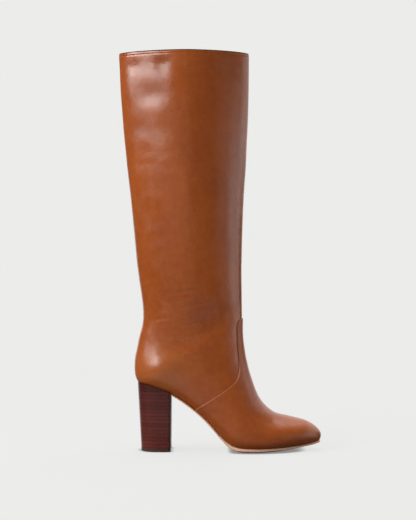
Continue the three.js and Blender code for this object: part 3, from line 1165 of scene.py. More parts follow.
# ---------------------------------------------------------------- the upper
@dataclass
class Upper:
    """The leg and quarters in one skin, closed by a seam down the back, with its lining.

    The leather is turned in over the collar, where the wall is two leathers thick. It rolls in by roll over
    roll_depth, is crimped just above the end of that, and is inked over its top inked millimetres. The rows
    of this turned edge stand in for the skin's first rows_turned rows.
    """

    leather: CalfLeather
    lining: LiningLeather
    thread: LinenThread
    edge_ink: StackLeather
    thickness: float = 0.85
    wall: float = 1.8
    turned_in: float = 12.0
    roll: float = 0.75
    roll_depth: float = 4.6
    inked: float = 1.25
    crimp: float = 0.3
    last_section: float = 12.7
    row_pitch: float = 2.3
    outer_columns: int = 84
    inner_columns: int = 60
    seam_depth: float = 0.5
    seam_width: float = 0.5
    seam_columns: tuple[float, ...] = (0.034, 0.026, 0.020, 0.015, 0.011, 0.0075, 0.0045, 0.002, 0.0)
    stitch_offset: float = 2.2
    stitch_pitch: float = 3.0
    rows_turned: int = 3
    lining_thickness: float = 0.6
    lining_depth: float = 1.15
    lining_margin: float = 1.2

    def columns(self) -> Array:
        """Shares of the way round from the front to the back seam, from the inner side to the outer.

        Returns:
            The shares, which are negative on the inner side.
        """
        near_seam = 1 - np.array(self.seam_columns)
        outer = np.concatenate([np.linspace(0, 0.96, self.outer_columns), near_seam])
        inner = np.concatenate([np.linspace(0, 0.96, self.inner_columns), near_seam])
        return np.concatenate([-inner[::-1], outer[1:]])

    def sections(self, pitch: float, last: float, offset: float,
                 height: float) -> tuple[Array, dict[int, Array]]:
        """Sections down the form, close enough along the skin and along its lower edge.

        Args:
            pitch: Their spacing in millimetres.
            last: The last section.
            offset: How far the skin is off the form.
            height: How far over the underside its lower edge is.

        Returns:
            The sections, and the turn at the lower edge on each side.
        """
        # sampled most closely round the seat, from row 7.5 to row 10
        fine = np.concatenate([
            np.linspace(0, 7.5, 500), np.linspace(7.5, 10, 900)[1:], np.linspace(10, last, 500)[1:],
        ])
        edges = {side: FORM.feather(fine, side, offset, height) for side in (1, -1)}
        lines = [FORM.base(fine, np.zeros_like(fine)), FORM.base(fine, np.full_like(fine, math.pi / 2))]
        lines += [FORM.base(fine, side * edges[side]) for side in (1, -1)]
        step = np.max([np.linalg.norm(np.diff(line, axis=0), axis=1) for line in lines], axis=0)
        gone = np.concatenate([[0.0], np.cumsum(step)])
        places = np.linspace(0, gone[-1], int(gone[-1] / pitch))
        u = np.interp(places, gone, fine)
        return u, {side: np.interp(u, fine, edges[side]) for side in (1, -1)}

    def laid(self, u: Array, edges: dict[int, Array], columns: Array) -> tuple[Array, Array]:
        """The sections and turns of a grid whose outer columns follow the lower edge.

        Args:
            u: The sections, one a row.
            edges: The turn at the lower edge on each side.
            columns: Shares of the way round.

        Returns:
            The section and the turn of each grid point.
        """
        reach = np.where(columns > 0, edges[1][:, None], edges[-1][:, None])
        return np.repeat(u[:, None], len(columns), axis=1), columns * reach

    def back_seam(self, points: Array, turn: Array) -> Array:
        """How far the closing seam pulls the leather in at each point, in millimetres.

        Args:
            points: Points of the form in millimetres.
            turn: Their angles round the sections.

        Returns:
            The offset at each point: below nothing where the leather goes in.
        """
        groove = np.exp(-((points[..., 1] / self.seam_width) ** 2))
        ridge = np.exp(-(((np.abs(points[..., 1]) - 1.3) / 0.8) ** 2))
        behind = np.abs(turn) > math.pi * 0.6
        return behind * (0.12 * ridge - self.seam_depth * groove)

    def make_leather(self) -> None:
        """Makes the outer skin, turned in over the collar."""
        columns = self.columns()
        u, edges = self.sections(self.row_pitch, self.last_section, 0.0, 0.0)
        section, turn = self.laid(u, edges, columns)
        base = FORM.base(section, turn)
        relief = relief_at(base)
        height = base[..., 2]
        # the dents and the seam fade out toward the collar
        worn = relief * smooth_step(494.0, 477.0, height)
        seam = self.back_seam(base, turn) * smooth_step(494.0, 489.0, height)
        skin = FORM.point(section, turn, worn + seam)
        edge = self.turned_edge(columns)
        obj = laid_sheet("upper_leather", np.concatenate([edge, skin[self.rows_turned:]]))
        # the crimp's deepest row, the last but two, is darkened as the deepest dents are: painted shade in
        # the crimp's groove
        tones = np.zeros(edge.shape[:2])
        tones[-3] = -1.2
        store(obj, "relief", np.concatenate([tones, relief[self.rows_turned:]]))
        join_doubles(obj)
        apply_modifier(obj, "SOLIDIFY", thickness=self.thickness * MM, offset=-1.0)
        smooth(obj, 50.0)
        obj.data.materials.append(self.leather.make())
        obj.data.materials.append(self.edge_ink.make(0.5))
        top = face_centres(obj)[:, 2] > COLLAR_HEIGHT - self.inked
        obj.data.polygons.foreach_set("material_index", top.astype(np.int32))
        hand_over(obj, "shaft_leather", "upper")

    def turned_edge(self, columns: Array) -> Array:
        """The rows of the top edge, from the turned-in end inside, over the rim, to the outer side.

        Args:
            columns: Shares of the way round.

        Returns:
            The rows' points in millimetres.
        """
        def rolled(drop: float) -> float:
            """How far the outer face is off the form at a drop below the rim."""
            return -self.roll * max(1 - drop / self.roll_depth, 0.0) ** 2

        turn = columns * math.pi
        row_height = COLLAR_HEIGHT - FORM_ROWS[1][1]
        radius = (self.wall + rolled(self.wall / 2)) / 2
        line = [(drop, -self.wall) for drop in np.linspace(self.turned_in, radius + 1, 5)]
        line += [(radius * (1 - math.sin(a)), -self.wall + radius * (1 + math.cos(a)))
                 for a in np.linspace(math.pi, 0.0, 9)]
        line += [(drop, rolled(drop)) for drop in np.linspace(radius + 0.5, self.roll_depth - 1.2, 5)]
        line += [(self.roll_depth - 0.8, -self.crimp), (self.roll_depth - 0.5, -0.5 * self.crimp)]
        line.append((self.roll_depth, 0.0))
        rows = [FORM.point(np.full_like(turn, drop / row_height), turn, offset) for drop, offset in line]
        return np.stack(rows)

    def make_lining(self) -> None:
        """Makes the lining, from under the turned-in edge down to the toe."""
        columns = np.linspace(-1, 1, 97)
        u = self.sections(5.0, LAST_ROW - 0.02, -self.lining_margin, 1.0)[0]
        # it begins about a millimetre above the turned-in end, and under it
        u = u[u > self.turned_in / 70.0]
        edges = {side: FORM.feather(u, side, -self.lining_margin, 1.0) for side in (1, -1)}
        section, turn = self.laid(u, edges, columns)
        # the lining gives way where the leather is dented
        pressed_in = np.minimum(relief_at(FORM.base(section, turn)), 0.0)
        obj = laid_sheet("upper_lining", FORM.point(section, turn, pressed_in - self.lining_depth))
        join_doubles(obj)
        apply_modifier(obj, "SOLIDIFY", thickness=self.lining_thickness * MM, offset=-1.0)
        smooth(obj, 50.0)
        obj.data.materials.append(self.lining.make())
        hand_over(obj, "shaft_leather", "upper")

    def make_seam_stitches(self) -> None:
        """Makes the two rows of stitches along the back seam."""
        u = FORM.steps(0.06, 7.9, self.stitch_pitch)
        # a radian is taken for 42 mm of leather there
        turn = math.pi - self.stitch_offset / 42.0
        for side, name in ((1, "outer"), (-1, "inner")):
            # sunk a little into the leather
            path = FORM.point(u, np.full_like(u, side * turn), -0.14)
            path += relief_at(path)[:, None] * np.array([-1.0, 0.0, 0.0])
            row = stitched_line(f"back_seam_stitches_{name}", path, 2.2, self.stitch_pitch, thickness=0.4)
            row.data.materials.append(self.thread.make())
            hand_over(row, "shaft_leather")

    def build(self) -> None:
        """Makes the skin, its lining and its stitches."""
        self.make_leather()
        self.make_lining()
        self.make_seam_stitches()


def store(obj: bpy.types.Object, name: str, values: Array) -> None:
    """Keeps a number with each vertex of a laid sheet, before its doubles are joined.

    Args:
        obj: The piece.
        name: The attribute's name.
        values: The numbers, by row and column.
    """
    attribute = obj.data.attributes.new(name, "FLOAT", "POINT")
    attribute.data.foreach_set("value", np.asarray(values, dtype=np.float32).ravel())


# ---------------------------------------------------------------- the vamp
@dataclass
class Vamp:
    """The vamp and its tongue-shaped tab, laid over the quarters and stitched along its edge."""

    leather: CalfLeather
    thread: LinenThread
    clearance: float = 0.3
    thickness: float = 1.1
    corner: float = 8.0
    top_columns: int = 112
    edge_pitch: float = 1.3
    edge_radius: float = 0.6
    easing: int = 80
    relaxing: int = 60
    edge_steps: tuple[float, ...] = (0.0, 0.05, 0.15, 0.32, 0.6, 1.0, 1.5, 2.0, 2.3, 2.6, 3.1)
    stitch_inset: float = 2.3
    outer_face: float = field(init=False)
    tip_reach: Array = field(init=False)

    def __post_init__(self) -> None:
        """Works out the outer face, and how far each section is from the toe's tip along the skin."""
        self.outer_face = self.clearance + self.thickness
        self._fine = np.linspace(6.0, LAST_ROW, 1500)
        gone = lengths_along(FORM.base(self._fine, np.zeros_like(self._fine)))
        self.tip_reach = gone[-1] - gone

    def flat(self, u: Array, turn: Array) -> Array:
        """The skin flattened round the toe's tip, where sections are rings.

        Args:
            u: Places along the form.
            turn: Angles round the sections.

        Returns:
            Two coordinates in millimetres, one pair a row.
        """
        reach = np.interp(u, self._fine, self.tip_reach)
        return np.stack([reach * np.cos(turn), reach * np.sin(turn)], axis=-1)

    def unflat(self, flat: Array) -> tuple[Array, Array]:
        """The place along the form and the turn of flattened points.

        Args:
            flat: Flattened points.

        Returns:
            The places along the form, and the turns.
        """
        reach = np.hypot(flat[..., 0], flat[..., 1])
        u = np.interp(reach, self.tip_reach[::-1], self._fine[::-1])
        return u, np.arctan2(flat[..., 1], flat[..., 0])

    def seam(self) -> tuple[Array, Array, int]:
        """The edge from the outer side's sole over the tab to the inner side's.

        Returns:
            The place and the turn of each point, and how many points each straight side has.
        """
        halves = []
        for side in (1, -1):
            line = through_points(VAMP_SEAM, 900)
            u, turn = FORM.locate(line[:, 0], line[:, 1])
            start = np.argmax(turn > 0.004)
            u, turn = np.append(u[start], u[start:]), np.append(0.0, turn[start:])
            keep = turn < FORM.feather(u, side, self.outer_face)
            u, turn = u[keep], side * turn[keep]
            halves.append(np.column_stack([FORM.base(u, turn), u, turn]))
        sides = [(half, lengths_along(half)) for half in halves]
        count = int((max(gone[-1] for _, gone in sides) - self.corner) / self.edge_pitch)
        lines = []
        for half, gone in sides:
            places = np.concatenate([
                np.linspace(0, self.corner, self.top_columns // 2 + 1)[:-1],
                np.linspace(self.corner, gone[-1], count + 1),
            ])
            for _ in range(self.easing):
                places[1:-1] = (places[:-2] + 2 * places[1:-1] + places[2:]) / 4
            lines.append(np.column_stack([np.interp(places, gone, half[:, k]) for k in (3, 4)]))
        whole = np.vstack([lines[0][::-1], lines[1][1:]])
        return whole[:, 0], whole[:, 1], count

    def band(self, u: Array, turn: Array) -> list[tuple[Array, Array]]:
        """Lines that follow the edge further and further in.

        Args:
            u: The edge's places along the form.
            turn: The edge's angles.

        Returns:
            The place and turn of each line's points, one line for each of the edge steps.
        """
        lines = [(u, turn)]
        share = np.linspace(0, 1, len(u))
        near_end = smooth_step(0.045, 0.0, np.minimum(share, 1 - share))
        for step in np.diff(self.edge_steps):
            u, turn = lines[-1]
            along, around, normal = FORM.slopes(u, turn)
            points = FORM.base(u, turn)
            tangent = directions_along(points)
            inward = np.cross(tangent, normal)
            sole = self.along_sole(u)
            for k, end in ((0, slice(0, len(u) // 2)), (-1, slice(len(u) // 2, None))):
                lean = np.dot(sole[k], tangent[k]) / np.dot(sole[k], inward[k])
                inward[end] = inward[end] + (near_end[end] * lean)[:, None] * tangent[end]
            move = inward * step
            basis = np.stack([along, around], axis=-1)
            change = np.einsum("nij,nj->ni", np.linalg.pinv(basis), move)
            new_u, new_turn = u + change[:, 0], turn + change[:, 1]
            for k, side in ((0, 1), (-1, -1)):
                new_turn[k] = side * FORM.feather(new_u[[k]], side, self.outer_face)[0]
            lines.append((new_u, new_turn))
        return lines

    def along_sole(self, u: Array) -> dict[int, Array]:
        """The direction of the lower edge toward the toe at the edge's two ends.

        Args:
            u: The edge's places along the form.

        Returns:
            The unit direction at the edge's first point, under 0, and at its last, under -1.
        """
        directions = {}
        for k, side in ((0, 1), (-1, -1)):
            pair = np.array([u[k], u[k] + 0.02])
            points = FORM.base(pair, side * FORM.feather(pair, side, self.outer_face))
            directions[k] = (points[1] - points[0]) / np.linalg.norm(points[1] - points[0])
        return directions

    def lower_edge(self, start: float, end: float) -> Array:
        """The lower edge round the toe, flattened.

        Args:
            start: The place along the form where it begins on the outer side.
            end: Where it ends on the inner side.

        Returns:
            Flattened points, evenly spaced along the sole.
        """
        halves = []
        for side, first in ((1, start), (-1, end)):
            u = np.linspace(first, LAST_ROW - 0.05, 900)
            turn = FORM.feather(u, side, self.outer_face)
            closed = np.argmax(turn > math.pi - CLOSED)
            last = closed + 1 if closed else len(u)
            u, turn = u[:last], side * turn[:last]
            halves.append(np.column_stack([FORM.base(u, turn), self.flat(u, turn)]))
        line = np.vstack([halves[0], halves[1][::-1][1:]])
        return even_steps(line, self.top_columns + 1)[:, 3:]

    def grids(self) -> tuple[Array, Array]:
        """The vamp's two grids, flattened: the band along its edge, and the skin inside it.

        Returns:
            The band, by edge step and place along the edge, and the skin, in rows from the tab down to the
            sole and columns from the outer side to the inner one.
        """
        u, turn, count = self.seam()
        lines = self.band(u, turn)
        flat = np.stack([self.flat(*line) for line in lines])
        inner = flat[-1]
        left, right = inner[:count + 1][::-1], inner[-count - 1:]
        top = inner[count:count + self.top_columns + 1]
        bottom = self.lower_edge(lines[-1][0][0], lines[-1][0][-1])
        bottom[0], bottom[-1] = left[-1], right[-1]
        s = np.linspace(0, 1, self.top_columns + 1)[None, :, None]
        t = np.linspace(0, 1, count + 1)[:, None, None]
        top_bulge = top[None] - (1 - s) * top[0] - s * top[-1]
        bottom_bulge = bottom[None] - (1 - s) * bottom[0] - s * bottom[-1]
        across = (1 - s) * left[:, None] + s * right[:, None]
        patch = across + (1 - t) ** 4 * top_bulge + smooth_step(0.42, 1.0, t) * bottom_bulge
        for _ in range(self.relaxing):
            patch[1:-1, 1:-1] = (patch[:-2, 1:-1] + patch[2:, 1:-1] + patch[1:-1, :-2] + patch[1:-1, 2:]) / 4
        for k in range(1, patch.shape[1] - 1):
            column = patch[:, k]
            line = np.column_stack([FORM.base(*self.unflat(column)), column])
            patch[1:-1, k] = even_steps(line, len(column))[1:-1, 3:]
        return flat, patch

    def skin(self, name: str, flat: Array, height: Array) -> bpy.types.Object:
        """One of the grids laid at a height over the form, with its relief and its thickness.

        Args:
            name: The sheet's name.
            flat: The flattened grid.
            height: How far its outer face is from the form, one number a row.

        Returns:
            The sheet.
        """
        u, turn = self.unflat(flat[:, ::-1])
        height = np.repeat(height[:, None], u.shape[1], axis=1)
        relief = relief_at(FORM.base(u, turn))
        places = FORM.rest_on_seat(FORM.point(u, turn, height + relief), 0.0)
        sheet = laid_sheet(name, places)
        store(sheet, "relief", relief)
        # where it is pared down, the cut shows and the leather is that much thinner; the shader paints that
        # edge pale low down, partly a painted highlight, and dark up the tab, a painted shadow line
        full = (height - self.clearance) / self.thickness
        store(sheet, "edge", np.clip(1.3 * (1 - full), 0, 1))
        group = sheet.vertex_groups.new(name="thickness")
        for index, share in enumerate(np.clip(full.ravel(), 0.03, 1.0)):
            group.add([index], float(share), "REPLACE")
        return sheet

    def build(self) -> None:
        """Makes the vamp and the stitches along its edge."""
        band, patch = self.grids()
        depth = np.array(self.edge_steps)
        rounding = np.sqrt(1 - np.clip(1 - depth / self.edge_radius, 0, 1) ** 2)
        groove = 0.13 * np.exp(-(((depth - self.stitch_inset) / 0.35) ** 2))
        obj = self.skin("vamp_leather", band, self.clearance + self.thickness * rounding - groove)
        body = self.skin("vamp_body", patch, np.full(len(patch), self.outer_face))
        select_only(obj)
        body.select_set(True)
        bpy.ops.object.join()
        join_doubles(obj)
        apply_modifier(obj, "SOLIDIFY", thickness=self.thickness * MM, offset=-1.0,
                       vertex_group="thickness", thickness_vertex_group=0.0)
        obj.vertex_groups.clear()
        smooth(obj, 60.0)
        obj.data.materials.append(self.leather.make())
        hand_over(obj, "vamp_leather", "vamp")
        u, turn = self.unflat(band[self.edge_steps.index(self.stitch_inset)])
        path = FORM.point(u, turn, self.outer_face - 0.06 + relief_at(FORM.base(u, turn)))
        row = stitched_line("vamp_stitches", path[3:-3], length=1.9, pitch=2.6, thickness=0.4)
        row.data.materials.append(self.thread.make())
        hand_over(row, "vamp_leather")


# ---------------------------------------------------------------- the sole and the heel
@dataclass
class Sole:
    """The outsole, trimmed a little wider than the leather over it, and the sock inside.

    The edge profile runs from the top face round the edge to the tread: how far inside the outline it is, in
    millimetres, and how far down, as a share of the thickness.
    """

    edge: SoleLeather
    tread: SoleLeather
    sock: LiningLeather
    gap: float = 0.3
    margin: float = 2.1
    breast: float = 18.6
    stations: int = 150
    across: int = 18
    edge_profile: tuple[tuple[float, float], ...] = (
        (1.8, -0.02), (1.0, 0.0), (0.6, 0.1), (0.32, 0.34), (0.12, 0.62), (0.0, 0.84), (0.08, 0.96),
        (0.4, 1.0), (1.2, 1.0),
    )

    def outline(self) -> dict[int, Array]:
        """The sole's outline on each side, from the heel's breast to the common tip.

        Returns:
            For 1, the outer side, and -1, the inner one, evenly spaced points.
        """
        lines = {}
        for side, line in FORM.outline(self.margin, 0.0, 500).items():
            y = np.interp(self.breast, line[:, 0], line[:, 1])
            lines[side] = np.vstack([[self.breast, y], line[line[:, 0] > self.breast + 0.1]])
        tip = (lines[1][-1] + lines[-1][-1]) / 2 + (0.1, 0.0)
        return {side: even_steps(np.vstack([line, tip]), self.stations + 1) for side, line in lines.items()}

    def build_outsole(self) -> None:
        """Makes the outsole as one closed strip, heel to toe."""
        lines = self.outline()
        insets = {}
        for side, line in lines.items():
            tangent = directions_along(line)
            outward = np.stack([side * tangent[:, 1], -side * tangent[:, 0]], axis=-1)
            outward[-1] = (1.0, 0.0)
            insets[side] = [line - inset * outward for inset, _ in self.edge_profile]
        shares = [share for _, share in self.edge_profile]
        w = np.linspace(0, 1, self.across + 1)
        # each column's places, its share of the thickness and how near the middle it is
        columns = [((1 - k) * insets[1][0] + k * insets[-1][0], 0.0, min(k, 1 - k)) for k in w]
        columns += [(insets[-1][i], shares[i], 0.0) for i in range(1, len(shares) - 1)]
        columns += [((1 - k) * insets[1][-1] + k * insets[-1][-1], 1.0, min(k, 1 - k)) for k in w[::-1]]
        columns += [(insets[1][i], shares[i], 0.0) for i in range(len(shares) - 2, 0, -1)]
        columns.append(columns[0])
        width = np.linalg.norm(lines[1] - lines[-1], axis=1)
        rings = []
        for place, share, middle in columns[::-1]:
            x, y = place[:, 0], place[:, 1]
            edge, centre = UNDERSIDE.value("edge", x), UNDERSIDE.value("middle", x)
            thick = edge + (centre - edge) * smooth_step(0.0, 9.0, middle * width)
            rings.append(np.stack([x, y, UNDERSIDE.seat(x) - self.gap - share * thick], axis=-1))
        obj = laid_sheet("outsole_leather", np.stack(rings, axis=1))
        join_doubles(obj)
        in_edit_mode(obj, lambda: bpy.ops.mesh.fill_holes(sides=0))
        in_edit_mode(obj, lambda: bpy.ops.mesh.normals_make_consistent(inside=False))
        smooth(obj, 40.0)
        for finish in (self.edge, self.tread):
            obj.data.materials.append(finish.make())
        normals = np.empty(len(obj.data.polygons) * 3)
        obj.data.polygons.foreach_get("normal", normals)
        down = normals.reshape(-1, 3)[:, 2] < -0.5
        obj.data.polygons.foreach_set("material_index", down.astype(np.int32))
        hand_over(obj, "sole_leather", "outsole")

    def dress_sock(self) -> None:
        """Gives the sock its leather."""
        materials = bpy.data.objects["insole"].data.materials
        materials.clear()
        materials.append(self.sock.make())

    def build(self) -> None:
        """Makes the outsole and dresses the sock."""
        self.build_outsole()
        self.dress_sock()


@dataclass
class Heel:
    """The stacked heel: a rubber top piece on the floor and leather lifts up to the seat.

    Seat sizes are those at height, to which the heel widens evenly from the tread. Hollow is how far the
    breast is scooped out.
    """

    leather: StackLeather
    rubber: HeelRubber
    tread_back: float = -19.3
    seat_back: float = -24.0
    tread_breast: float = 17.7
    seat_breast: float = 18.4
    tread_half_width: float = 22.6
    seat_half_width: float = 25.6
    height: float = 88.0
    corner: float = 4.0
    hollow: float = 1.4
    back_power: float = 2.35
    widest: float = 0.62
    top_piece: float = 5.0
    lifts: int = 19
    lift: float = 4.35
    gap: float = 0.05
    tones: tuple[float, ...] = (0.0, 0.1, 0.2, 0.3, 0.4, 0.5, 0.6, 0.7, 0.8)

    def taper(self, z: Array) -> tuple[Array, Array, Array]:
        """The heel's back, breast and half width at a height.

        Args:
            z: The height in millimetres.

        Returns:
            The back, the breast and the half width.
        """
        share = z / self.height
        return (
            self.tread_back + (self.seat_back - self.tread_back) * share,
            self.tread_breast + (self.seat_breast - self.tread_breast) * share,
            self.tread_half_width + (self.seat_half_width - self.tread_half_width) * share,
        )

    def outline(self, z: float) -> Array:
        """The heel's outline at a height, as x and y, round the back and on round the breast.

        Args:
            z: The height in millimetres.

        Returns:
            The outline's points, one a row.
        """
        back, breast, half = (float(v) for v in self.taper(z))
        widest = back + (breast - back) * self.widest
        turn = np.linspace(-math.pi / 2, math.pi / 2, 49)
        power = 2 / self.back_power
        curve = np.column_stack([
            widest - (widest - back) * np.abs(np.cos(turn)) ** power,
            np.sign(turn) * half * np.abs(np.sin(turn)) ** power,
        ])
        bend = np.linspace(0, math.pi / 2, 7)
        centre = np.array([breast - self.corner, half - self.corner])
        corner = centre + self.corner * np.column_stack([np.sin(bend), np.cos(bend)])
        side = np.linspace(1, -1, 15)[1:-1]
        front = np.column_stack([breast - self.hollow * (1 - side**2), side * centre[1]])
        return np.vstack([curve, corner, front, corner[::-1] * (1, -1)])

    def layer(self, name: str, bottom: float, thickness: float, rounding: float) -> bpy.types.Object:
        """One layer of the heel: its outline drawn out to its thickness, its edges eased.

        Args:
            name: The layer's name.
            bottom: The height of its lower face.
            thickness: Its thickness.
            rounding: The size of its eased edges.

        Returns:
            The layer.
        """
        lower = self.outline(bottom)
        bpy.ops.object.select_all(action="DESELECT")
        bpy.ops.mesh.primitive_circle_add(vertices=len(lower), radius=1, fill_type="NGON")
        obj = named_primitive(name)
        level = np.full(len(lower), bottom)
        move_vertices(obj, np.column_stack([lower, level]))
        lift = {"value": (0, 0, thickness * MM)}
        in_edit_mode(obj, lambda: bpy.ops.mesh.extrude_region_move(TRANSFORM_OT_translate=lift))
        places = vertex_places(obj) / MM
        high = places[:, 2] > bottom + thickness / 2
        places[high, :2] = self.tapered(places[high], np.full(high.sum(), bottom), thickness)
        move_vertices(obj, places)
        in_edit_mode(obj, lambda: bpy.ops.mesh.normals_make_consistent(inside=False))
        apply_modifier(obj, "BEVEL", width=rounding * MM, segments=1, limit_method="ANGLE",
                       angle_limit=math.radians(60))
        smooth(obj, 40.0)
        return obj

    def tapered(self, places: Array, z: Array, rise: float) -> Array:
        """Where points of the heel at a height z come to lie when they rise, as x and y.

        Args:
            places: The points.
            z: Their heights.
            rise: How far they rise.

        Returns:
            The new x and y, one pair a row.
        """
        back, breast, half = self.taper(z)
        new_back, new_breast, new_half = self.taper(z + rise)
        x = new_back + (places[:, 0] - back) * (new_breast - new_back) / (breast - back)
        return np.column_stack([x, places[:, 1] * new_half / half])

    def raised(self, first: bpy.types.Object, name: str, rise: float) -> bpy.types.Object:
        """A copy of the first lift, higher up the heel and as wide as the heel is there.

        Args:
            first: The first lift.
            name: The copy's name.
            rise: How much higher the copy is.

        Returns:
            The copy.
        """
        obj = first.copy()
        obj.data = first.data.copy()
        obj.name = obj.data.name = name
        bpy.context.scene.collection.objects.link(obj)
        places = vertex_places(obj) / MM
        places[:, :2] = self.tapered(places, places[:, 2], rise)
        places[:, 2] += rise
        move_vertices(obj, places)
        return obj

    def cut_to_seat(self, obj: bpy.types.Object) -> None:
        """Cuts a lift to the slope of the seat.

        Args:
            obj: The lift.
        """
        for start, end in ((-25.0, -11.0), (-11.0, 1.0), (1.0, 10.0), (10.0, 19.0)):
            low, high = (float(UNDERSIDE.seat(x)) - self.gap for x in (start, end))
            slope = Vector((low - high, 0.0, end - start)).normalized()
            cut = {"plane_co": (start * MM, 0, low * MM), "plane_no": tuple(slope)}
            in_edit_mode(obj, lambda: bpy.ops.mesh.bisect(**cut, use_fill=True, clear_outer=True))

    def build(self) -> None:
        """Makes the top piece and the lifts."""
        tread = self.layer("heel_top_piece", 0.0, self.top_piece, 0.35)
        tread.data.materials.append(self.rubber.make())
        hand_over(tread, "heel_rubber", "top_piece")
        # the lift materials from pale to dark: their stains, and, taken lower to higher, a painted reflection
        # of the floor
        stains = [self.leather.make(tone) for tone in self.tones]
        pick = np.random.default_rng(11)
        first = self.layer("heel_stack_01", self.top_piece, self.lift, 0.05)
        pieces = [first] + [
            self.raised(first, f"heel_stack_{i + 1:02d}", i * self.lift) for i in range(1, self.lifts)
        ]
        for i, obj in enumerate(pieces):
            if self.top_piece + (i + 1) * self.lift > UNDERSIDE.seat(self.seat_breast) - 1:
                self.cut_to_seat(obj)
                smooth(obj, 30.0)
            # one of three tones, which are darker the higher the lift: the paler lower lifts are a painted
            # reflection of the floor
            darker = (len(stains) - 3) * i / (self.lifts - 1)
            obj.data.materials.append(stains[int(darker) + int(pick.integers(3))])
            hand_over(obj, "heel_leather", f"heel_lift_{i + 1:02d}")


# ---------------------------------------------------------------- the studio
@dataclass(frozen=True)
class Softbox:
    """A large soft light, placed round the boot by its angle from the camera, in degrees to the right.

    A lying one shines straight up.
    """

    name: str
    angle: float
    distance: float
    height: float
    width: float
    tall: float
    radiance: float
    colour: Colour = (1.0, 1.0, 1.0)
    lying: bool = False

    def build(self, target: Vector) -> None:
        """Hangs the light, facing the target.

        Args:
            target: What it faces, in metres.
        """
        turn = math.radians(self.angle)
        x, y = target.x + self.distance * math.sin(turn), -self.distance * math.cos(turn)
        place = Vector((x, y, self.height))
        toward = Vector((0.0, 0.0, 1.0)) if self.lying else target - place
        facing = toward.to_track_quat("-Z", "Y").to_euler()
        bpy.ops.object.light_add(type="AREA", location=place, rotation=facing)
        lamp = bpy.context.object
        lamp.name = self.name
        lamp.data.shape = "RECTANGLE"
        lamp.data.size, lamp.data.size_y = self.width, self.tall
        lamp.data.energy = self.radiance * math.pi * self.width * self.tall
        lamp.data.color = self.colour
        lamp.visible_camera = False


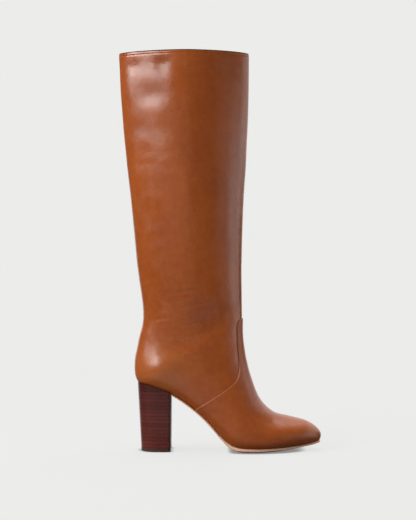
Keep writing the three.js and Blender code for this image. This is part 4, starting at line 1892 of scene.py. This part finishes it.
@dataclass
class Studio:
    """A pale sweep of paper, soft lights all round the boot, and a level camera.

    The paper glows, and round the boot it is lit a little too, out to shadow_near, and not at all from
    shadow_far on. Its glow falls to painted_contact_shadow where the boot stands on it, within
    contact_shadow_reach: a painted contact shadow. All are in metres.
    """

    paper: Colour = (0.838, 0.838, 0.823)
    floor: float = 6.0
    backdrop: float = 4.0
    curve: float = 1.2
    glow: float = 0.88
    matt: float = 0.08
    shadow_near: float = 0.25
    shadow_far: float = 0.6
    contact_shadow_reach: float = 0.006
    painted_contact_shadow: float = 0.3
    middle: tuple[float, float, float] = (0.04, 0.0, 0.26)
    camera_place: tuple[float, float, float] = (63.75, -1650.0, 237.0)
    focal_share: float = 1320.0 / 520.0
    sensor: float = 36.0
    softboxes: tuple[Softbox, ...] = (
        Softbox("key_softbox", -57.0, 1.6, 0.98, 1.4, 0.64, 10.4, (1.0, 0.99, 0.975)),
        Softbox("low_fill", -14.0, 1.6, 0.28, 1.3, 0.5, 0.3),
        Softbox("floor_bounce", 0.0, 0.33, 0.008, 0.7, 0.5, 0.4, lying=True),
        Softbox("side_softbox", 84.0, 1.5, 0.17, 1.1, 0.7, 1.3, (0.97, 0.985, 1.0)),
        Softbox("side_fill", 62.0, 1.6, 0.27, 1.1, 0.8, 0.4, (0.97, 0.985, 1.0)),
        Softbox("toe_softbox", 112.0, 1.1, 0.6, 1.0, 0.6, 1.1),
        Softbox("top_softbox", 180.0, 0.1, 1.9, 1.8, 1.4, 2.6),
        Softbox("back_top_softbox", 165.0, 0.9, 1.6, 1.6, 1.0, 1.4),
        Softbox("back_softbox", 180.0, 1.7, 0.5, 3.0, 2.0, 1.0),
    )
    room: float = 0.1

    def build_camera(self) -> None:
        """Sets the camera up, level and square to the boot's outer side."""
        place = Vector(self.camera_place) * MM
        bpy.ops.object.camera_add(location=place, rotation=(math.pi / 2, 0.0, 0.0))
        camera = bpy.context.object
        camera.name = "camera"
        camera.data.sensor_fit = "VERTICAL"
        camera.data.sensor_height = self.sensor
        camera.data.lens = self.sensor * self.focal_share
        bpy.context.scene.camera = camera

    def paper_material(self) -> bpy.types.Material:
        """The paper's material: bright all over, and near the boot it takes a little shadow.

        Returns:
            The material.
        """
        material = bpy.data.materials.new("studio_paper")
        material.use_nodes = True
        nodes, links = material.node_tree.nodes, material.node_tree.links
        nodes.clear()
        glow, plain = nodes.new("ShaderNodeEmission"), nodes.new("ShaderNodeEmission")
        for node in (glow, plain):
            node.inputs["Color"].default_value = (*self.paper, 1.0)
        matt = nodes.new("ShaderNodeBsdfDiffuse")
        matt.inputs["Color"].default_value = (self.matt, self.matt, self.matt, 1.0)
        painted_contact_shadow, strength = nodes.new("ShaderNodeAmbientOcclusion"), nodes.new("ShaderNodeMapRange")
        painted_contact_shadow.samples, painted_contact_shadow.inputs["Distance"].default_value = 8, self.contact_shadow_reach
        # from how open the paper is at a place to how much it glows there: a painted contact shadow where the
        # boot stands
        spans = (("From Min", 0.4), ("From Max", 1.0), ("To Min", self.painted_contact_shadow), ("To Max", self.glow))
        for name, number in spans:
            strength.inputs[name].default_value = number
        coordinates, away = nodes.new("ShaderNodeTexCoord"), nodes.new("ShaderNodeVectorMath")
        away.operation = "LENGTH"
        fade = nodes.new("ShaderNodeMapRange")
        fade.inputs["From Min"].default_value = self.shadow_near
        fade.inputs["From Max"].default_value = self.shadow_far
        both, mix = nodes.new("ShaderNodeAddShader"), nodes.new("ShaderNodeMixShader")
        output = nodes.new("ShaderNodeOutputMaterial")
        for start, end in (
            (painted_contact_shadow.outputs["AO"], strength.inputs["Value"]),
            (strength.outputs["Result"], glow.inputs["Strength"]),
            (coordinates.outputs["Object"], away.inputs[0]),
            (away.outputs["Value"], fade.inputs["Value"]),
            (fade.outputs["Result"], mix.inputs["Fac"]),
            (glow.outputs[0], both.inputs[0]),
            (matt.outputs[0], both.inputs[1]),
            (both.outputs[0], mix.inputs[1]),
            (plain.outputs[0], mix.inputs[2]),
            (mix.outputs[0], output.inputs["Surface"]),
        ):
            links.new(start, end)
        return material

    def build_paper(self) -> None:
        """Rolls out the paper: a floor that turns up into a backdrop."""
        bpy.ops.object.select_all(action="DESELECT")
        bpy.ops.mesh.primitive_plane_add(size=self.floor)
        sweep = named_primitive("studio_sweep")
        far = vertex_places(sweep)[:, 1] > 0
        up = {"value": (0, 0, self.backdrop)}
        in_edit_mode(sweep, lambda: bpy.ops.mesh.extrude_region_move(TRANSFORM_OT_translate=up), far)
        apply_modifier(sweep, "BEVEL", width=self.curve, segments=12, limit_method="ANGLE", angle_limit=1.0)
        smooth(sweep)
        sweep.data.materials.append(self.paper_material())
        sweep.visible_diffuse = sweep.visible_glossy = False

    def build_room(self) -> None:
        """Gives the room its faint light. Past the paper, the camera sees the paper's colour."""
        world = bpy.data.worlds.new("studio_room")
        world.use_nodes = True
        nodes, links = world.node_tree.nodes, world.node_tree.links
        room, seen = nodes["Background"], nodes.new("ShaderNodeBackground")
        room.inputs["Color"].default_value = (0.9, 0.92, 1.0, 1.0)
        room.inputs["Strength"].default_value = self.room
        seen.inputs["Color"].default_value = (*self.paper, 1.0)
        ray, mix = nodes.new("ShaderNodeLightPath"), nodes.new("ShaderNodeMixShader")
        links.new(ray.outputs["Is Camera Ray"], mix.inputs["Fac"])
        links.new(room.outputs[0], mix.inputs[1])
        links.new(seen.outputs[0], mix.inputs[2])
        links.new(mix.outputs[0], nodes["World Output"].inputs["Surface"])
        bpy.context.scene.world = world

    def build(self) -> None:
        """Sets the studio up round the boot."""
        bpy.context.scene.view_settings.view_transform = "Standard"
        self.build_room()
        for softbox in self.softboxes:
            softbox.build(Vector(self.middle))
        self.build_camera()
        self.build_paper()


def main() -> None:
    """Builds the boot in the order it is put together, then the studio."""
    cognac = CalfLeather("cognac_calf", (0.4, 0.083, 0.01), (0.27, 0.05, 0.006), (0.46, 0.14, 0.03))
    vamp_calf = CalfLeather(
        "cognac_vamp_calf", (0.4, 0.082, 0.01), (0.27, 0.048, 0.006), (0.46, 0.14, 0.03),
        roughness=0.33, gloss=0.5, creases=0.0, pebble=0.035,
    )
    pigskin = LiningLeather("pigskin_lining", (0.42, 0.3, 0.2), (0.32, 0.21, 0.12))
    thread = LinenThread("cognac_thread", (0.2, 0.06, 0.02), (0.1, 0.03, 0.01))
    edge_ink = StackLeather("edge_ink", (0.05, 0.013, 0.006), (0.035, 0.009, 0.004), 0.6, 0.15, glued=False)
    Upper(cognac, pigskin, thread, edge_ink).build()
    Vamp(vamp_calf, thread).build()
    Sole(
        # the edge's pale peach is partly the trimmed leather's own colour and partly a painted highlight
        # along the edge
        SoleLeather("sole_edge_leather", (0.95, 0.55, 0.36), (0.72, 0.38, 0.22), 0.42),
        SoleLeather("sole_tread_leather", (0.5, 0.28, 0.16), (0.34, 0.17, 0.09), 0.6, (0.12, 0.035, 0.02)),
        pigskin,
    ).build()
    Heel(
        StackLeather("stacked_leather", (0.2, 0.042, 0.032), (0.03, 0.005, 0.003), 0.3),
        HeelRubber("heel_rubber", (0.085, 0.026, 0.02), (0.2, 0.12, 0.1)),
    ).build()
    Studio().build()


if __name__ == "__main__":
    logging.basicConfig(level=logging.INFO, format="%(name)s: %(message)s")
    main()
